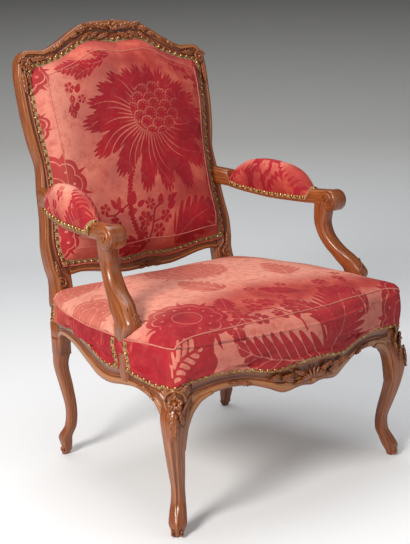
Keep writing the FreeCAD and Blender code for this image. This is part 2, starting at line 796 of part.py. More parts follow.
def seat_cover(room):
    outer = seat_form(0, [(seat_skirt_z, 0), (rail_top, 8)], seat_levels)
    inner = seat_form(cover_thickness, [(seat_skirt_z - 5, 0), (rail_top, 8)], seat_levels)
    outside_of_rear = box((-rear_block_inner, rear_block_inner), (seat_rear_y - 60, 400), (0, seat_rear_nail_z))
    skirt = outer[0].cut(inner[0]).cut(below_nails(soft_clearance)).cut(outside_of_rear)
    return skirt.cut(room).fuse(outer[1].cut(inner[1]).cut(room))


def seat_stuffing(room):
    foot = hessian_z + hessian_thickness + soft_clearance
    skirt, crown = seat_form(cover_thickness + soft_clearance, [(foot, 8)], seat_levels)
    return skirt.cut(room).fuse(crown.cut(room))


def seat_hessian(room):
    return Part.Face(seat_outline(hessian_z, -rebate - 5)).extrude(Vector(0, 0, hessian_thickness)).cut(room)


# Back upholstery
def back_outline(out, inset):
    """Outline of the padded back at a distance out of its front plane, drawn in towards the middle."""
    side = [(stile_show_x(z), z) for z in (478, 520, 580, 640, 690, 740, 800, 868)]
    ear = stile_show_x(868)
    corner = [(ear - 3, 893), (ear - 12, 910), (ear - 28, 918)]
    top = [(x, crest_show_z(x)) for x in (190, 145, 95, 40)]
    foot = [(stile_show_x(478) - 8, lower_show_z(lower_rail_half) + 6)]
    foot += [(x, lower_show_z(x)) for x in (190, 125, 60)]
    right = list(reversed(foot)) + side + corner + top
    half_x, half_z = stile_show_x(back_middle_z), (crest_show_z(0) - lower_show_z(0)) / 2
    points = []
    for x, z in right + [(-x, z) for x, z in reversed(right)]:
        x = x * (1 - inset / half_x)
        z = back_middle_z + (z - back_middle_z) * (1 - inset / half_z)
        points.append(on_back(x, z, out))
    return closed(points)


def back_form(thin, start):
    wires = [back_outline(start, pad_edge_gap + thin)]
    for share, inset in back_levels:
        wires.append(back_outline(back_crown * share - thin, pad_edge_gap + thin + inset))
    return loft(wires, True)


def back_cover():
    foot = -rebate + soft_clearance
    return back_form(0, foot).cut(back_form(cover_thickness, foot - 3))


def back_hessian():
    outline = back_outline(back_hessian_out, pad_edge_gap + cover_thickness + 1)
    return Part.Face(outline).extrude(BACK_FRONT * hessian_thickness)


def outside_back_panel():
    return Part.Face(back_outline(-back_thickness, -2)).extrude(BACK_FRONT * -outside_panel_thickness)


pegs = joint_pegs()
stile = rear_leg_blank()
corner_post = front_leg_blank()
front_rail = front_rail_blank()
side_rail = side_rail_blank()
rear_rail = rear_rail_blank()

right_hand = {}
right_hand["front_leg"] = pinned(corner_post.cut(front_tenon(joint_clearance)).cut(side_front_tenon(joint_clearance)),
                                 pegs, "front", "side_front")
leg = stile.cut(side_rear_tenon(joint_clearance)).cut(rear_tenon(joint_clearance))
leg = leg.cut(arm_tenon(joint_clearance)).cut(lower_rail_tenon(joint_clearance)).fuse(crest_tenon())
right_hand["rear_leg"] = pinned(leg, pegs, "side_rear", "rear", "crest", "lower")
rail = side_rail.fuse(side_front_tenon()).fuse(side_rear_tenon()).cut(support_foot())
right_hand["side_rail"] = pinned(rail, pegs, "side_front", "side_rear")
right_hand["arm"] = arm_wood(stile)
right_hand["arm_support"] = support_blank().cut(arm_blank()).fuse(support_foot()).fuse(dowel_hole())
inner = arm_core(soft_clearance)
right_hand["arm_pad_cover"] = arm_pad_form(0, 0).cut(arm_pad_form(cover_thickness, 3)).cut(inner)
right_hand["arm_pad_stuffing"] = arm_pad_form(cover_thickness + soft_clearance, 0).cut(inner)

front_points = [Vector(front_shoulder - corner_block_leg, seat_front_y, corner_block_z),
                Vector(seat_front_half, seat_front_y, corner_block_z),
                Vector(seat_front_half, side_front_shoulder + corner_block_leg, corner_block_z)]
rear_points = [Vector(rear_block_inner - corner_block_leg, rear_tenon_y, corner_block_z),
               Vector(side_rear_tenon_x, rear_tenon_y, corner_block_z),
               Vector(side_rear_tenon_x + 15, rear_block_front - corner_block_leg, corner_block_z)]
blocks = [corner_block(front_points, (corner_post, front_rail, side_rail)),
          corner_block(rear_points, (stile, rear_rail, side_rail))]

parts = {}
for name, shape in right_hand.items():
    parts[name + "_right"] = shape
    parts[name + "_left"] = on_side(shape, LEFT)

both_front = front_rail.fuse(front_tenon()).fuse(on_side(front_tenon(), LEFT))
both_rear = rear_rail.fuse(rear_tenon()).fuse(on_side(rear_tenon(), LEFT))
both_lower = lower_rail_blank().fuse(lower_rail_tenon()).fuse(on_side(lower_rail_tenon(), LEFT))
both_crest = crest_rail_blank().cut(crest_tenon(joint_clearance)).cut(on_side(crest_tenon(joint_clearance), LEFT))
left_pegs = {name: on_side(shape, LEFT) for name, shape in pegs.items()}
parts["front_seat_rail"] = pinned(pinned(both_front, pegs, "front"), left_pegs, "front")
parts["rear_seat_rail"] = pinned(pinned(both_rear, pegs, "rear"), left_pegs, "rear")
parts["lower_back_rail"] = pinned(pinned(both_lower, pegs, "lower"), left_pegs, "lower")
parts["crest_rail"] = pinned(pinned(both_crest, pegs, "crest"), left_pegs, "crest")
parts["joint_pegs"] = Part.makeCompound(list(pegs.values()) + list(left_pegs.values()))
parts["corner_blocks"] = Part.makeCompound(blocks + [on_side(block, LEFT) for block in blocks])
parts["seat_webbing_lengthwise"], parts["seat_webbing_crosswise"] = seat_straps()
parts["back_webbing_upright"], parts["back_webbing_crosswise"] = back_straps()
room = post_spaces()
parts["seat_hessian"] = seat_hessian(room)
parts["seat_stuffing"] = seat_stuffing(room)
parts["seat_cover"] = seat_cover(room)
parts["back_hessian"] = back_hessian()
parts["back_stuffing"] = back_form(cover_thickness + soft_clearance,
                                   back_hessian_out + hessian_thickness + soft_clearance)
parts["back_cover"] = back_cover()
parts["outside_back_panel"] = outside_back_panel()

# Origin under the middle of the whole chair
low = min(shape.optimalBoundingBox(False, False).YMin for shape in parts.values())
high = max(shape.optimalBoundingBox(False, False).YMax for shape in parts.values())
shift = Vector(0, -(low + high) / 2, 0)
print("moved by", shift.y)
for name, shape in sorted(parts.items()):
    shape = shape.copy()
    shape.translate(shift)
    shape.exportStep("parts/" + name + ".step")
    print(name, len(shape.Solids), shape.isValid(), round(shape.Volume / 1000))
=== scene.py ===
import math
import bpy
import numpy as np
from mathutils import Matrix, Vector


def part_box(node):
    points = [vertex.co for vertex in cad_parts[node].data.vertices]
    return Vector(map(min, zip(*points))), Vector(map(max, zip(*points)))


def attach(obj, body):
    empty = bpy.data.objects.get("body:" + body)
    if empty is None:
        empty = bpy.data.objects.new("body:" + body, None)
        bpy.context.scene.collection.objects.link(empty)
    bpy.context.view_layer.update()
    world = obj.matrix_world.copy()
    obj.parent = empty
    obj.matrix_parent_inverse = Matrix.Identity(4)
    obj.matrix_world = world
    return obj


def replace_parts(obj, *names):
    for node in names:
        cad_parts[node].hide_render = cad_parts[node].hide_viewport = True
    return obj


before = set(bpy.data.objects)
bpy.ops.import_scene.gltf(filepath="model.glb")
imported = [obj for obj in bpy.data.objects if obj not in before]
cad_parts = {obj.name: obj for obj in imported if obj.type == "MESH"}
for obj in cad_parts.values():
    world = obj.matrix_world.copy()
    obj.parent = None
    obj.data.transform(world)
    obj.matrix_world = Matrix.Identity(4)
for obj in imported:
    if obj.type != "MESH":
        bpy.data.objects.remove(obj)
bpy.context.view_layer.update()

# Carved open armchair with a flat back. Everything is laid out in millimetres about the middle of the
# seat, as the solids are, and moved back with them. X right as seen from the front, Y back, Z up.
shift_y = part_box("rear_seat_rail")[1].y * 1000 - 237.0
MM = 0.001
rng = np.random.default_rng(7)

# Sizes shared with the solids
seat_front_half = 323.0
seat_front_y = -284.0
seat_rear_half = 274.0
seat_rear_y = 241.0
front_bow = 48.0
side_bow = 30.0
rail_top = 372.0
front_lower_edge = 262.0
front_nail_height = 316.0
side_lower_edge = 285.0
side_nail_height = 328.0
front_block = 46.0
rear_block_front = 203.0
rail_thickness = 34.0
nail_inset = 5
back_base_y = 240.0
back_base_z = 459.0
rake = math.radians(11.45)
back_half = 270.0
back_thickness = 32.0
stile_foot_z = 384.0
stile_joint_z = 878.0
stile_band = 20.0
stile_post_inner = 219.0
crest_height = 1006.0
crest_band = 29.0
lower_rail_edge = 430.0
lower_rail_band = 19.0
lower_rail_top = 492.0
lower_rail_half = 212.0
rebate = 4.0
stile_tongue = 28.0
crest_tongue = 30.0
edge_round = 3.0
webbing_width = 50.0
webbing_lift = 0.85
seat_strap_gaps = (72.0, 78.0)
back_strap_gap = 105.0
scroll = np.array([315.0, -82.0, 582.0])
gimp_width = 12.0
nail_pitch = 17.5
nail_radius = 5.4
nail_rise = 5.2
support_y = -131.0
support_gap = 22.0
arm_rim = 17.8
arm_rim_lift = 13.0

front_lower_line = [(0.0, -4), (0.1, 0), (0.27, -5), (0.4, 10), (0.55, 24), (0.72, 27), (0.88, 20), (1.0, 10)]
front_nail_line = [(0.0, 3), (0.13, 0), (0.3, -6), (0.5, 6), (0.68, 10), (0.84, 6), (1.0, 2)]
side_lower_line = [(0.0, -25), (0.06, -10), (0.16, 2), (0.26, -1), (0.38, -9), (0.48, -6), (0.6, 12), (0.72, 29),
                   (0.85, 36), (0.95, 32), (1.0, 18)]
side_nail_line = [(0.0, -15), (0.1, -18), (0.2, -12), (0.3, -6), (0.42, -8), (0.55, 14), (0.7, 28), (0.85, 22),
                  (1.0, 13)]
stile_wave = [(0.0, 3), (0.1, -3), (0.16, 2), (0.25, 4), (0.38, -5), (0.5, -9), (0.62, -15), (0.72, -6), (0.85, 1),
              (1.0, 3)]
stile_band_line = [(0.0, 8), (0.16, 8), (0.3, 2), (0.5, 0), (0.62, -6), (0.72, -1), (1.0, 0)]
crest_line = [(0.0, 4), (0.12, 6), (0.3, 0), (0.42, -15), (0.58, -40), (0.74, -58), (0.8, -60)]
crest_band_line = [(0.0, 8), (0.12, 6), (0.25, 0), (0.45, 2), (0.6, -3), (0.8, -7)]
lower_rail_line = [(0.0, -6), (0.3, -8), (0.5, -2), (0.72, 7), (0.9, 11), (1.0, 9)]
lower_band_line = [(0.0, 6), (0.4, 2), (0.7, -1), (1.0, -3)]
arm_middle_line = [(-82, 315), (-12, 309), (60, 299), (140, 289), (217, 273), (255, 259), (290, 252)]
arm_under_line = [(-82, 566), (-40, 570), (20, 571), (100, 573), (140, 577), (185, 583), (241, 594), (290, 600)]
arm_over_line = [(-82, 607), (-12, 605), (60, 607), (140, 615), (185, 623), (217, 631), (250, 637), (290, 641)]
pad_top_line = [(-16, 608), (-5, 624), (12, 641), (40, 655), (80, 664), (130, 668), (170, 663), (200, 649),
                (214, 638), (224, 629)]
pad_half_line = [(-16, 16), (0, 21.5), (25, 26), (60, 28.5), (150, 28.5), (195, 26), (214, 21.5), (224, 17)]
support_swing = [(296, 318, -131, 26), (312, 320, -131, 30), (340, 321, -131, 30), (374, 322, -131, 31),
                 (388, 326, -132, 46), (404, 330, -139, 58), (420, 329, -142, 62), (438, 325, -126, 68),
                 (455, 319, -110, 64), (472, 314, -89, 50), (498, 309, -68, 38), (527, 307, -57, 38),
                 (556, 309, -57, 46), (578, 310, -60, 52)]
# Legs: height, middle of the section, its side
front_leg_course = [(0, 314.9, -268.9, 15), (10, 314.9, -268.9, 22), (24, 313.5, -267.5, 32), (42, 307.9, -261.9, 31),
                    (65, 300.1, -254.1, 27), (95, 299.4, -253.4, 25), (125, 305, -259, 29), (160, 312.8, -266.8, 33),
                    (195, 318.5, -272.5, 37), (228, 319.9, -273.9, 43), (252, 314, -269, 49), (280, 302, -262.5, 47),
                    (312, 300, -261, 46)]
rear_leg_course = [(0, 250, 259, 15), (12, 247.8, 255.1, 20), (27, 248.7, 254.1, 25), (46, 250.6, 252.8, 29),
                   (76, 242.3, 239.8, 25), (120, 242.3, 233.4, 24), (178, 252.5, 233, 28), (231, 263.1, 233.5, 31),
                   (262, 264.5, 226, 36), (300, 264, 224, 40)]


# Lines and plans, as whole arrays
def joined(*parts):
    """Numbers and arrays brought to one shape and stacked as coordinates."""
    return np.stack(np.broadcast_arrays(*parts), -1)


def smooth(points, x):
    """Cubic through the points given, its slope at each one that of the chord between its neighbours."""
    p = np.array(points, float)
    n = len(p)
    low, high = np.clip(np.arange(n) - 1, 0, n - 1), np.clip(np.arange(n) + 1, 0, n - 1)
    slope = (p[high, 1] - p[low, 1]) / (p[high, 0] - p[low, 0])
    i = np.clip(np.searchsorted(p[:, 0], x, side="left") - 1, 0, n - 2)
    run = p[i + 1, 0] - p[i, 0]
    t = np.clip((x - p[i, 0]) / run, 0, 1)
    rise = (2 * t ** 3 - 3 * t ** 2 + 1) * p[i, 1] + (3 * t ** 2 - 2 * t ** 3) * p[i + 1, 1]
    return rise + run * ((t ** 3 - 2 * t ** 2 + t) * slope[i] + (t ** 3 - t ** 2) * slope[i + 1])


def front_face_y(x):
    """Y of the front rail's face: a bow forward, the square of a cosine across its width."""
    return seat_front_y - front_bow * np.cos(np.pi * np.asarray(x) / (2 * seat_front_half)) ** 2


def side_share(y):
    """Share of the way from the front corner to the rear one."""
    return (np.asarray(y) - seat_front_y) / (seat_rear_y - seat_front_y)


def side_face_x(y):
    """X of a side rail's face: a straight line from corner to corner with half a sine wave added."""
    t = side_share(y)
    return seat_front_half + (seat_rear_half - seat_front_half) * t + side_bow * np.sin(np.pi * t)


front_shoulder = seat_front_half - front_block
side_front_shoulder = seat_front_y + front_block


def front_low_z(x):
    """Lower edge of the front rail: a base height and its serpentine line."""
    return front_lower_edge + smooth(front_lower_line, np.abs(x) / front_shoulder)


def front_nail_z(x):
    """Height of the nails on the front rail: a base height and its line."""
    return front_nail_height + smooth(front_nail_line, np.abs(x) / seat_front_half)


def side_low_z(y):
    """Lower edge of a side rail: a base height and its serpentine line."""
    share = (np.asarray(y) - side_front_shoulder) / (rear_block_front - side_front_shoulder)
    return side_lower_edge + smooth(side_lower_line, share)


def side_nail_z(y):
    """Height of the nails on a side rail: a base height and its line."""
    return side_nail_height + smooth(side_nail_line, np.clip(side_share(y), 0, 1))


def on_back(x, z, out=0.0):
    """Points of the back at heights z, out of its leaning front plane by a distance."""
    z, out = np.asarray(z, float), np.asarray(out, float)
    y = back_base_y + (z - back_base_z) * math.tan(rake)
    return joined(x, y - out * math.cos(rake), z + out * math.sin(rake))


BACK_FRONT = np.array([0, -math.cos(rake), math.sin(rake)])
BACK_UP = np.array([0, math.sin(rake), math.cos(rake)])
UP = np.array([0, 0, 1.0])
REARWARD = np.array([0, 1.0, 0])
NO_FACES = np.zeros((0, 3), int)


def stile_outer_x(z):
    """Outer edge of a stile: half the back's width and its wave."""
    return back_half + smooth(stile_wave, (np.asarray(z) - stile_foot_z) / (stile_joint_z - stile_foot_z))


def stile_show_x(z):
    """Inner edge of a stile's moulding: the outer edge less the band's width."""
    share = (np.asarray(z) - stile_foot_z) / (stile_joint_z - stile_foot_z)
    return stile_outer_x(z) - stile_band - smooth(stile_band_line, share)


def crest_outer_z(x):
    """Top edge of the crest: its height and its falling line."""
    return crest_height + smooth(crest_line, np.abs(x) / back_half)


def crest_show_z(x):
    """Lower edge of the crest's moulding: the top edge less the band's width."""
    return crest_outer_z(x) - crest_band - smooth(crest_band_line, np.abs(x) / back_half)


def lower_edge_z(x):
    """Lower edge of the lower back rail: a base height and its line."""
    return lower_rail_edge + smooth(lower_rail_line, np.abs(x) / lower_rail_half)


def lower_show_z(x):
    """Upper edge of that rail's moulding: the lower edge and the band's width."""
    return lower_edge_z(x) + lower_rail_band + smooth(lower_band_line, np.abs(x) / lower_rail_half)


# Meshes from grids
def unit(v):
    """Each vector divided by its length."""
    return v / np.maximum(np.linalg.norm(v, axis=-1, keepdims=True), 1e-9)


def lengths(points):
    """Distance along a line at each of its points."""
    steps = np.linalg.norm(np.diff(points, axis=0), axis=-1)
    return np.concatenate([[0], np.cumsum(steps)])


def read_at(at, s, values):
    """Columns of values at distances s, read at other distances."""
    return np.stack([np.interp(at, s, values[:, k]) for k in range(values.shape[1])], -1)


def along(line, at):
    """Points of a line at shares of its length from 0 to 1."""
    s = lengths(line)
    return read_at(at * s[-1], s, line)


def numbered(count_v, count_u):
    """Point numbers of a grid, a row at a time."""
    return np.arange(count_v * count_u).reshape(count_v, count_u)


def cells(index, around_v=False, around_u=False):
    """Faces of a grid of point numbers, closed round its rows or its columns where told."""
    if around_v:
        index = np.concatenate([index, index[:1]])
    if around_u:
        index = np.concatenate([index, index[:, :1]], 1)
    return np.stack([index[:-1, :-1], index[1:, :-1], index[1:, 1:], index[:-1, 1:]], -1).reshape(-1, 4)


def fans(count_v, count_u):
    """Triangles that close a grid's first and last row, each round a point added after the grid's own."""
    j = np.arange(count_u)
    k = (j + 1) % count_u
    total = count_v * count_u
    return np.concatenate([joined(total, j, k), joined(total + 1, total - count_u + k, total - count_u + j)])


def volume(verts, *faces):
    """Six times the volume inside faces: above 0 where they point outwards."""
    return sum(np.einsum("ij,ij->", verts[f[:, 0]], np.cross(verts[f[:, k]], verts[f[:, k + 1]]))
               for f in faces for k in range(1, f.shape[1] - 1))


def build(name, grid, material, wrap_u=False, wrap_v=False, cap_u=False, fields=None, uv=None):
    """A mesh on a grid of points: u along, v across. Capped ends get a point in their middle."""
    nu, nv = grid.shape[:2]
    verts, tris = grid.reshape(-1, 3), NO_FACES
    if cap_u:
        verts, tris = np.concatenate([verts, grid[[0, -1]].mean(1)]), fans(nu, nv)
    return mesh(name, verts, cells(numbered(nu, nv), wrap_u, wrap_v), tris, material, fields, uv)


def mesh(name, verts, quads, tris, material, fields=None, uv=None):
    """Numpy vertices and faces into a smooth-shaded mesh whose faces point outwards."""
    verts = np.array(verts, float) + [0, shift_y, 0]
    if volume(verts, quads, tris) < 0:
        quads, tris = quads[:, ::-1], tris[:, ::-1]
    loops = np.concatenate([quads.ravel(), tris.ravel()])
    totals = np.concatenate([np.full(len(quads), 4), np.full(len(tris), 3)])
    starts = np.concatenate([[0], np.cumsum(totals)[:-1]])
    me = bpy.data.meshes.new(name)
    me.vertices.add(len(verts))
    me.vertices.foreach_set("co", (verts * MM).astype(np.float32).ravel())
    me.loops.add(len(loops))
    me.loops.foreach_set("vertex_index", loops.astype(np.int32))
    me.polygons.add(len(totals))
    me.polygons.foreach_set("loop_start", starts.astype(np.int32))
    me.polygons.foreach_set("use_smooth", np.ones(len(totals), bool))
    if uv is not None:
        flat = np.asarray(uv, float).reshape(-1, 2)
        flat = np.concatenate([flat, np.zeros((len(verts) - len(flat), 2))])
        layer = me.uv_layers.new(name="along")
        layer.data.foreach_set("uv", (flat[loops] * MM).astype(np.float32).ravel())
    for key, values in (fields or {}).items():
        values = np.asarray(values, float).ravel()
        values = np.concatenate([values, np.full(len(verts) - len(values), values.mean())])
        me.attributes.new(key, "FLOAT", "POINT").data.foreach_set("value", values.astype(np.float32))
    me.update()
    me.validate()
    obj = bpy.data.objects.new(name, me)
    bpy.context.scene.collection.objects.link(obj)
    obj.data.materials.append(material)
    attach(obj, "root")
    return obj


def mirrored(grid):
    """The same points on the other side, X turned about."""
    return grid * np.array([-1.0, 1, 1])


def square_to(out, hint):
    """Two directions square to each direction given and to each other, the first square to a hint as well."""
    side = unit(np.cross(out, hint))
    return side, np.cross(out, side)


def tube(path, radius, sides=8, closed=False):
    """A round section carried along a line, upright against the line's own normal."""
    path = np.asarray(path, float)
    forward = unit(np.roll(path, -1, 0) - np.roll(path, 1, 0)) if closed else unit(np.gradient(path, axis=0))
    side = unit(np.cross(forward, [0.03, 0.05, 1.0]))
    up = np.cross(side, forward)
    a = np.linspace(0, 2 * np.pi, sides, endpoint=False)
    radius = np.broadcast_to(np.asarray(radius, float), len(path))[:, None, None]
    return path[:, None] + radius * (side[:, None] * np.cos(a)[None, :, None]
                                     + up[:, None] * np.sin(a)[None, :, None])


# Colours and materials
def linear(hex_colour):
    """An sRGB hex colour as linear red, green, blue and alpha."""
    c = np.array([int(hex_colour[i:i + 2], 16) for i in (1, 3, 5)]) / 255
    return (*np.where(c <= 0.04045, c / 12.92, ((c + 0.055) / 1.055) ** 2.4), 1.0)


def new_material(name):
    """An empty node material and its tree."""
    material = bpy.data.materials.new(name)
    material.use_nodes = True
    tree = material.node_tree
    tree.nodes.clear()
    return material, tree


def add(tree, kind, settings=None, sockets=None, stops=None, pick=0, **inputs):
    """Adds a node with its settings and gives the output picked. Each socket takes a number, a hex colour or another
    node's output; stops are the places and hex colours of a colour ramp."""
    node = tree.nodes.new("ShaderNode" + kind)
    for key, value in (settings or {}).items():
        setattr(node, key, value)
    for key, value in {**(sockets or {}), **inputs}.items():
        socket = node.inputs[key.replace("_", " ") if isinstance(key, str) else key]
        if isinstance(value, bpy.types.NodeSocket):
            tree.links.new(value, socket)
        else:
            socket.default_value = linear(value) if isinstance(value, str) else value
    if stops:
        elements = node.color_ramp.elements
        while len(elements) < len(stops):
            elements.new(0.5)
        for element, (place, colour) in zip(elements, stops):
            element.position = place
            element.color = linear(colour)
    return node.outputs[pick] if node.outputs else None


COLOURS = {"data_type": "RGBA"}


def waxed_wood(name, coordinate):
    """Waxed beech: straight fine grain, darker in the hollows from old wax and painted shade, with a painted
    highlight on the rounds.
    """
    material, tree = new_material(name)
    if coordinate == "uv":
        place = add(tree, "UVMap", {"uv_map": "along"})
    else:
        place = add(tree, "TexCoord", pick="Object")
    # Grain lines about 1.5 mm apart across and 60 mm long, drawn coarse enough to show
    grain_map = add(tree, "Mapping", Vector=place, Scale=(14, 320, 320) if coordinate == "uv" else (260, 260, 14))
    grain = add(tree, "TexNoise", Vector=grain_map, Scale=1.0, Detail=5.0, Roughness=0.6)
    cloud_map = add(tree, "Mapping", Vector=place, Scale=(9, 30, 30))
    cloud = add(tree, "TexNoise", Vector=cloud_map, Scale=1.0, Detail=3.0, Roughness=0.55)
    body = add(tree, "ValToRGB", Fac=grain, stops=[(0.28, "#451A09"), (0.5, "#7C3616"), (0.72, "#A85A28")])
    body = add(tree, "Mix", COLOURS, {0: cloud, 6: body, 7: add(tree, "ValToRGB", Fac=grain,
                                                                stops=[(0.3, "#662C0E"), (0.7, "#B86E30")])}, pick=2)
    hollow = add(tree, "Attribute", {"attribute_name": "hollow"}, pick="Fac")
    # Darker where the hollow attribute is above 0: old wax and painted shade in the hollows.
    dark = add(tree, "MapRange", Value=hollow, From_Min=0.3, From_Max=1.0, To_Max=0.85)
    body = add(tree, "Mix", COLOURS, {0: dark, 6: body, 7: "#3A1608"}, pick=2)
    # Paler where it is below 0: a painted highlight on the rounds.
    painted_highlight = add(tree, "MapRange", Value=hollow, From_Min=-0.2, From_Max=-1.0)
    body = add(tree, "Mix", COLOURS, {0: painted_highlight, 6: body, 7: "#D3924A"}, pick=2)
    rough = add(tree, "MapRange", Value=grain, To_Min=0.28, To_Max=0.46)
    bump = add(tree, "Bump", Height=grain, Strength=0.12, Distance=0.0004)
    shader = add(tree, "BsdfPrincipled", Base_Color=body, Roughness=rough, Normal=bump, IOR=1.5, Coat_Weight=0.45,
                 Coat_Roughness=0.2)
    add(tree, "OutputMaterial", Surface=shader)
    return material


def cut_velvet(name):
    """Cut velvet: raised crimson pile on a flat salmon satin ground, both paler by one attribute that holds wear
    together with painted light.
    """
    material, tree = new_material(name)
    place = add(tree, "TexCoord", pick="Object")
    pile = add(tree, "Attribute", {"attribute_name": "pile"}, pick="Fac")
    wear_and_painted_light = add(tree, "Attribute", {"attribute_name": "wear_and_painted_light"}, pick="Fac")
    fuzz = add(tree, "TexNoise", Vector=place, Scale=900.0, Detail=2.0)
    drift = add(tree, "TexNoise", Vector=place, Scale=14.0, Detail=4.0, Roughness=0.6)
    streak_map = add(tree, "Mapping", Vector=place, Scale=(60, 60, 8))
    streak = add(tree, "TexNoise", Vector=streak_map, Scale=6.0, Detail=3.0)
    edge = add(tree, "Math", {"operation": "MULTIPLY_ADD"}, sockets={0: fuzz, 2: pile, 1: 0.5})
    inside = add(tree, "MapRange", {"interpolation_type": "SMOOTHSTEP"}, Value=edge, From_Min=-0.35, From_Max=0.85)
    ground = add(tree, "ValToRGB", Fac=drift, stops=[(0.34, "#962627"), (0.5, "#B03E36"), (0.66, "#CA6450")])
    # The ground pales where that attribute is high: wear together with painted light.
    ground = add(tree, "Mix", COLOURS, {0: wear_and_painted_light, 6: ground, 7: "#E29C88"}, pick=2)
    nap = add(tree, "ValToRGB", Fac=drift, stops=[(0.3, "#86061A"), (0.55, "#A00E22"), (0.75, "#B41C2A")])
    # The pile pales too where it is highest: wear together with painted light.
    paleness = add(tree, "Math", {"operation": "POWER"}, sockets={0: wear_and_painted_light, 1: 4.0})
    nap = add(tree, "Mix", COLOURS, {0: paleness, 6: nap, 7: "#CE7866"}, pick=2)
    cloth = add(tree, "Mix", COLOURS, {0: inside, 6: ground, 7: nap}, pick=2)
    cloth = add(tree, "Mix", {"data_type": "RGBA", "blend_type": "SOFT_LIGHT"},
                {0: 0.12, 6: cloth, 7: add(tree, "ValToRGB", Fac=streak,
                                           stops=[(0.35, "#C8574A"), (0.65, "#F0B5A4")])}, pick=2)
    # Blotches about 20 mm across where old wear has parted the pile
    parted = add(tree, "TexNoise", Vector=place, Scale=55.0, Detail=6.0, Roughness=0.72)
    blotch = add(tree, "MapRange", Value=parted, From_Min=0.48, From_Max=0.66, To_Max=0.55)
    cloth = add(tree, "Mix", COLOURS, {0: blotch, 6: cloth, 7: "#AE3A36"}, pick=2)
    height = add(tree, "Math", {"operation": "MULTIPLY_ADD"}, sockets={0: fuzz, 2: inside, 1: 0.35})
    bump = add(tree, "Bump", Height=height, Strength=0.5, Distance=0.0012)
    shader = add(tree, "BsdfPrincipled", Base_Color=cloth, Normal=bump, Roughness=0.82, IOR=1.45, Sheen_Weight=0.05,
                 Sheen_Roughness=0.4, Sheen_Tint="#F0998A")
    add(tree, "OutputMaterial", Surface=shader)
    return material


def gimp_braid(name):
    """Silk gimp: pale gold braid of crossed cords, its ribs 3 mm apart."""
    material, tree = new_material(name)
    place = add(tree, "UVMap", {"uv_map": "along"})
    turned = add(tree, "Mapping", Vector=place, Scale=(330, 330, 330), Rotation=(0, 0, 0.785))
    ribs = add(tree, "TexChecker", Vector=turned, Scale=1.0, pick="Fac")
    soft = add(tree, "TexNoise", Vector=turned, Scale=1.3, Detail=2.0)
    colour = add(tree, "Mix", COLOURS, {0: ribs, 6: "#84582C", 7: "#C2945A"}, pick=2)
    colour = add(tree, "Mix", COLOURS, {0: 0.25, 6: colour, 7: add(tree, "ValToRGB", Fac=soft,
                                                                   stops=[(0.35, "#6A4424"), (0.65, "#DAB884")])},
                 pick=2)
    bump = add(tree, "Bump", Height=ribs, Strength=0.4, Distance=0.0006)
    shader = add(tree, "BsdfPrincipled", Base_Color=colour, Normal=bump, Roughness=0.55, Sheen_Weight=0.2)
    add(tree, "OutputMaterial", Surface=shader)
    return material


def old_brass(name):
    """Domed upholstery nails of old gilt brass, browned in spots."""
    material, tree = new_material(name)
    place = add(tree, "TexCoord", pick="Object")
    spots = add(tree, "TexNoise", Vector=place, Scale=160.0, Detail=3.0)
    colour = add(tree, "ValToRGB", Fac=spots, stops=[(0.3, "#6E4A26"), (0.5, "#AA804A"), (0.75, "#DCBC86")])
    rough = add(tree, "MapRange", Value=spots, To_Min=0.42, To_Max=0.26)
    shader = add(tree, "BsdfPrincipled", Base_Color=colour, Roughness=rough, Metallic=1.0)
    add(tree, "OutputMaterial", Surface=shader)
    return material


def plain_cloth(name, dark, light, threads):
    """Undyed jute or hemp in plain weave, with threads so many to the metre."""
    material, tree = new_material(name)
    place = add(tree, "TexCoord", pick="Object")
    warp = add(tree, "TexWave", {"bands_direction": "X"}, Vector=place, Scale=threads, Distortion=1.5)
    weft = add(tree, "TexWave", {"bands_direction": "Y"}, Vector=place, Scale=threads, Distortion=1.5)
    weave = add(tree, "Mix", COLOURS, {0: 0.5, 6: warp, 7: weft}, pick=2)
    colour = add(tree, "ValToRGB", Fac=weave, stops=[(0.25, dark), (0.75, light)])
    bump = add(tree, "Bump", Height=weave, Strength=0.5, Distance=0.0006)
    shader = add(tree, "BsdfPrincipled", Base_Color=colour, Normal=bump, Roughness=0.9)
    add(tree, "OutputMaterial", Surface=shader)
    return material


def webbing_cloth(name):
    """Woven jute girth web: a coarse twill with a brown stripe 3 mm wide a little in from each edge."""
    material, tree = new_material(name)
    place = add(tree, "UVMap", {"uv_map": "along"})
    across = add(tree, "SeparateXYZ", Vector=place, pick="Y")
    fine = add(tree, "TexNoise", Vector=place, Scale=240.0, Detail=3.0)
    twill = add(tree, "TexWave", {"bands_direction": "DIAGONAL"}, Vector=place, Scale=110.0, Distortion=0.8,
                pick="Fac")
    off = add(tree, "Math", {"operation": "SUBTRACT"}, sockets={0: across, 1: 0.2})
    near = add(tree, "Math", {"operation": "ABSOLUTE"}, sockets={0: off})
    stripe = add(tree, "Math", {"operation": "COMPARE"}, sockets={0: near, 1: 0.0185, 2: 0.0015})
    colour = add(tree, "ValToRGB", Fac=fine, stops=[(0.3, "#7A5E3A"), (0.7, "#C2A674")])
    colour = add(tree, "Mix", COLOURS, {0: 0.35, 6: colour, 7: add(tree, "ValToRGB", Fac=twill,
                                                                   stops=[(0.3, "#6E5433"), (0.7, "#C8AE80")])},
                 pick=2)
    colour = add(tree, "Mix", COLOURS, {0: stripe, 6: colour, 7: "#6A3320"}, pick=2)
    bump = add(tree, "Bump", Height=twill, Strength=0.6, Distance=0.0006)
    shader = add(tree, "BsdfPrincipled", Base_Color=colour, Normal=bump, Roughness=0.88)
    add(tree, "OutputMaterial", Surface=shader)
    return material


wood = waxed_wood("waxed_beech_along", "uv")
wood_plain = waxed_wood("waxed_beech_blocks", "object")
velvet = cut_velvet("cut_velvet")
gimp = gimp_braid("gold_gimp")
brass = old_brass("gilt_brass_nails")
sangle = webbing_cloth("jute_webbing")
hemp = plain_cloth("hemp_hessian", "#7A6240", "#B8A276", 420)


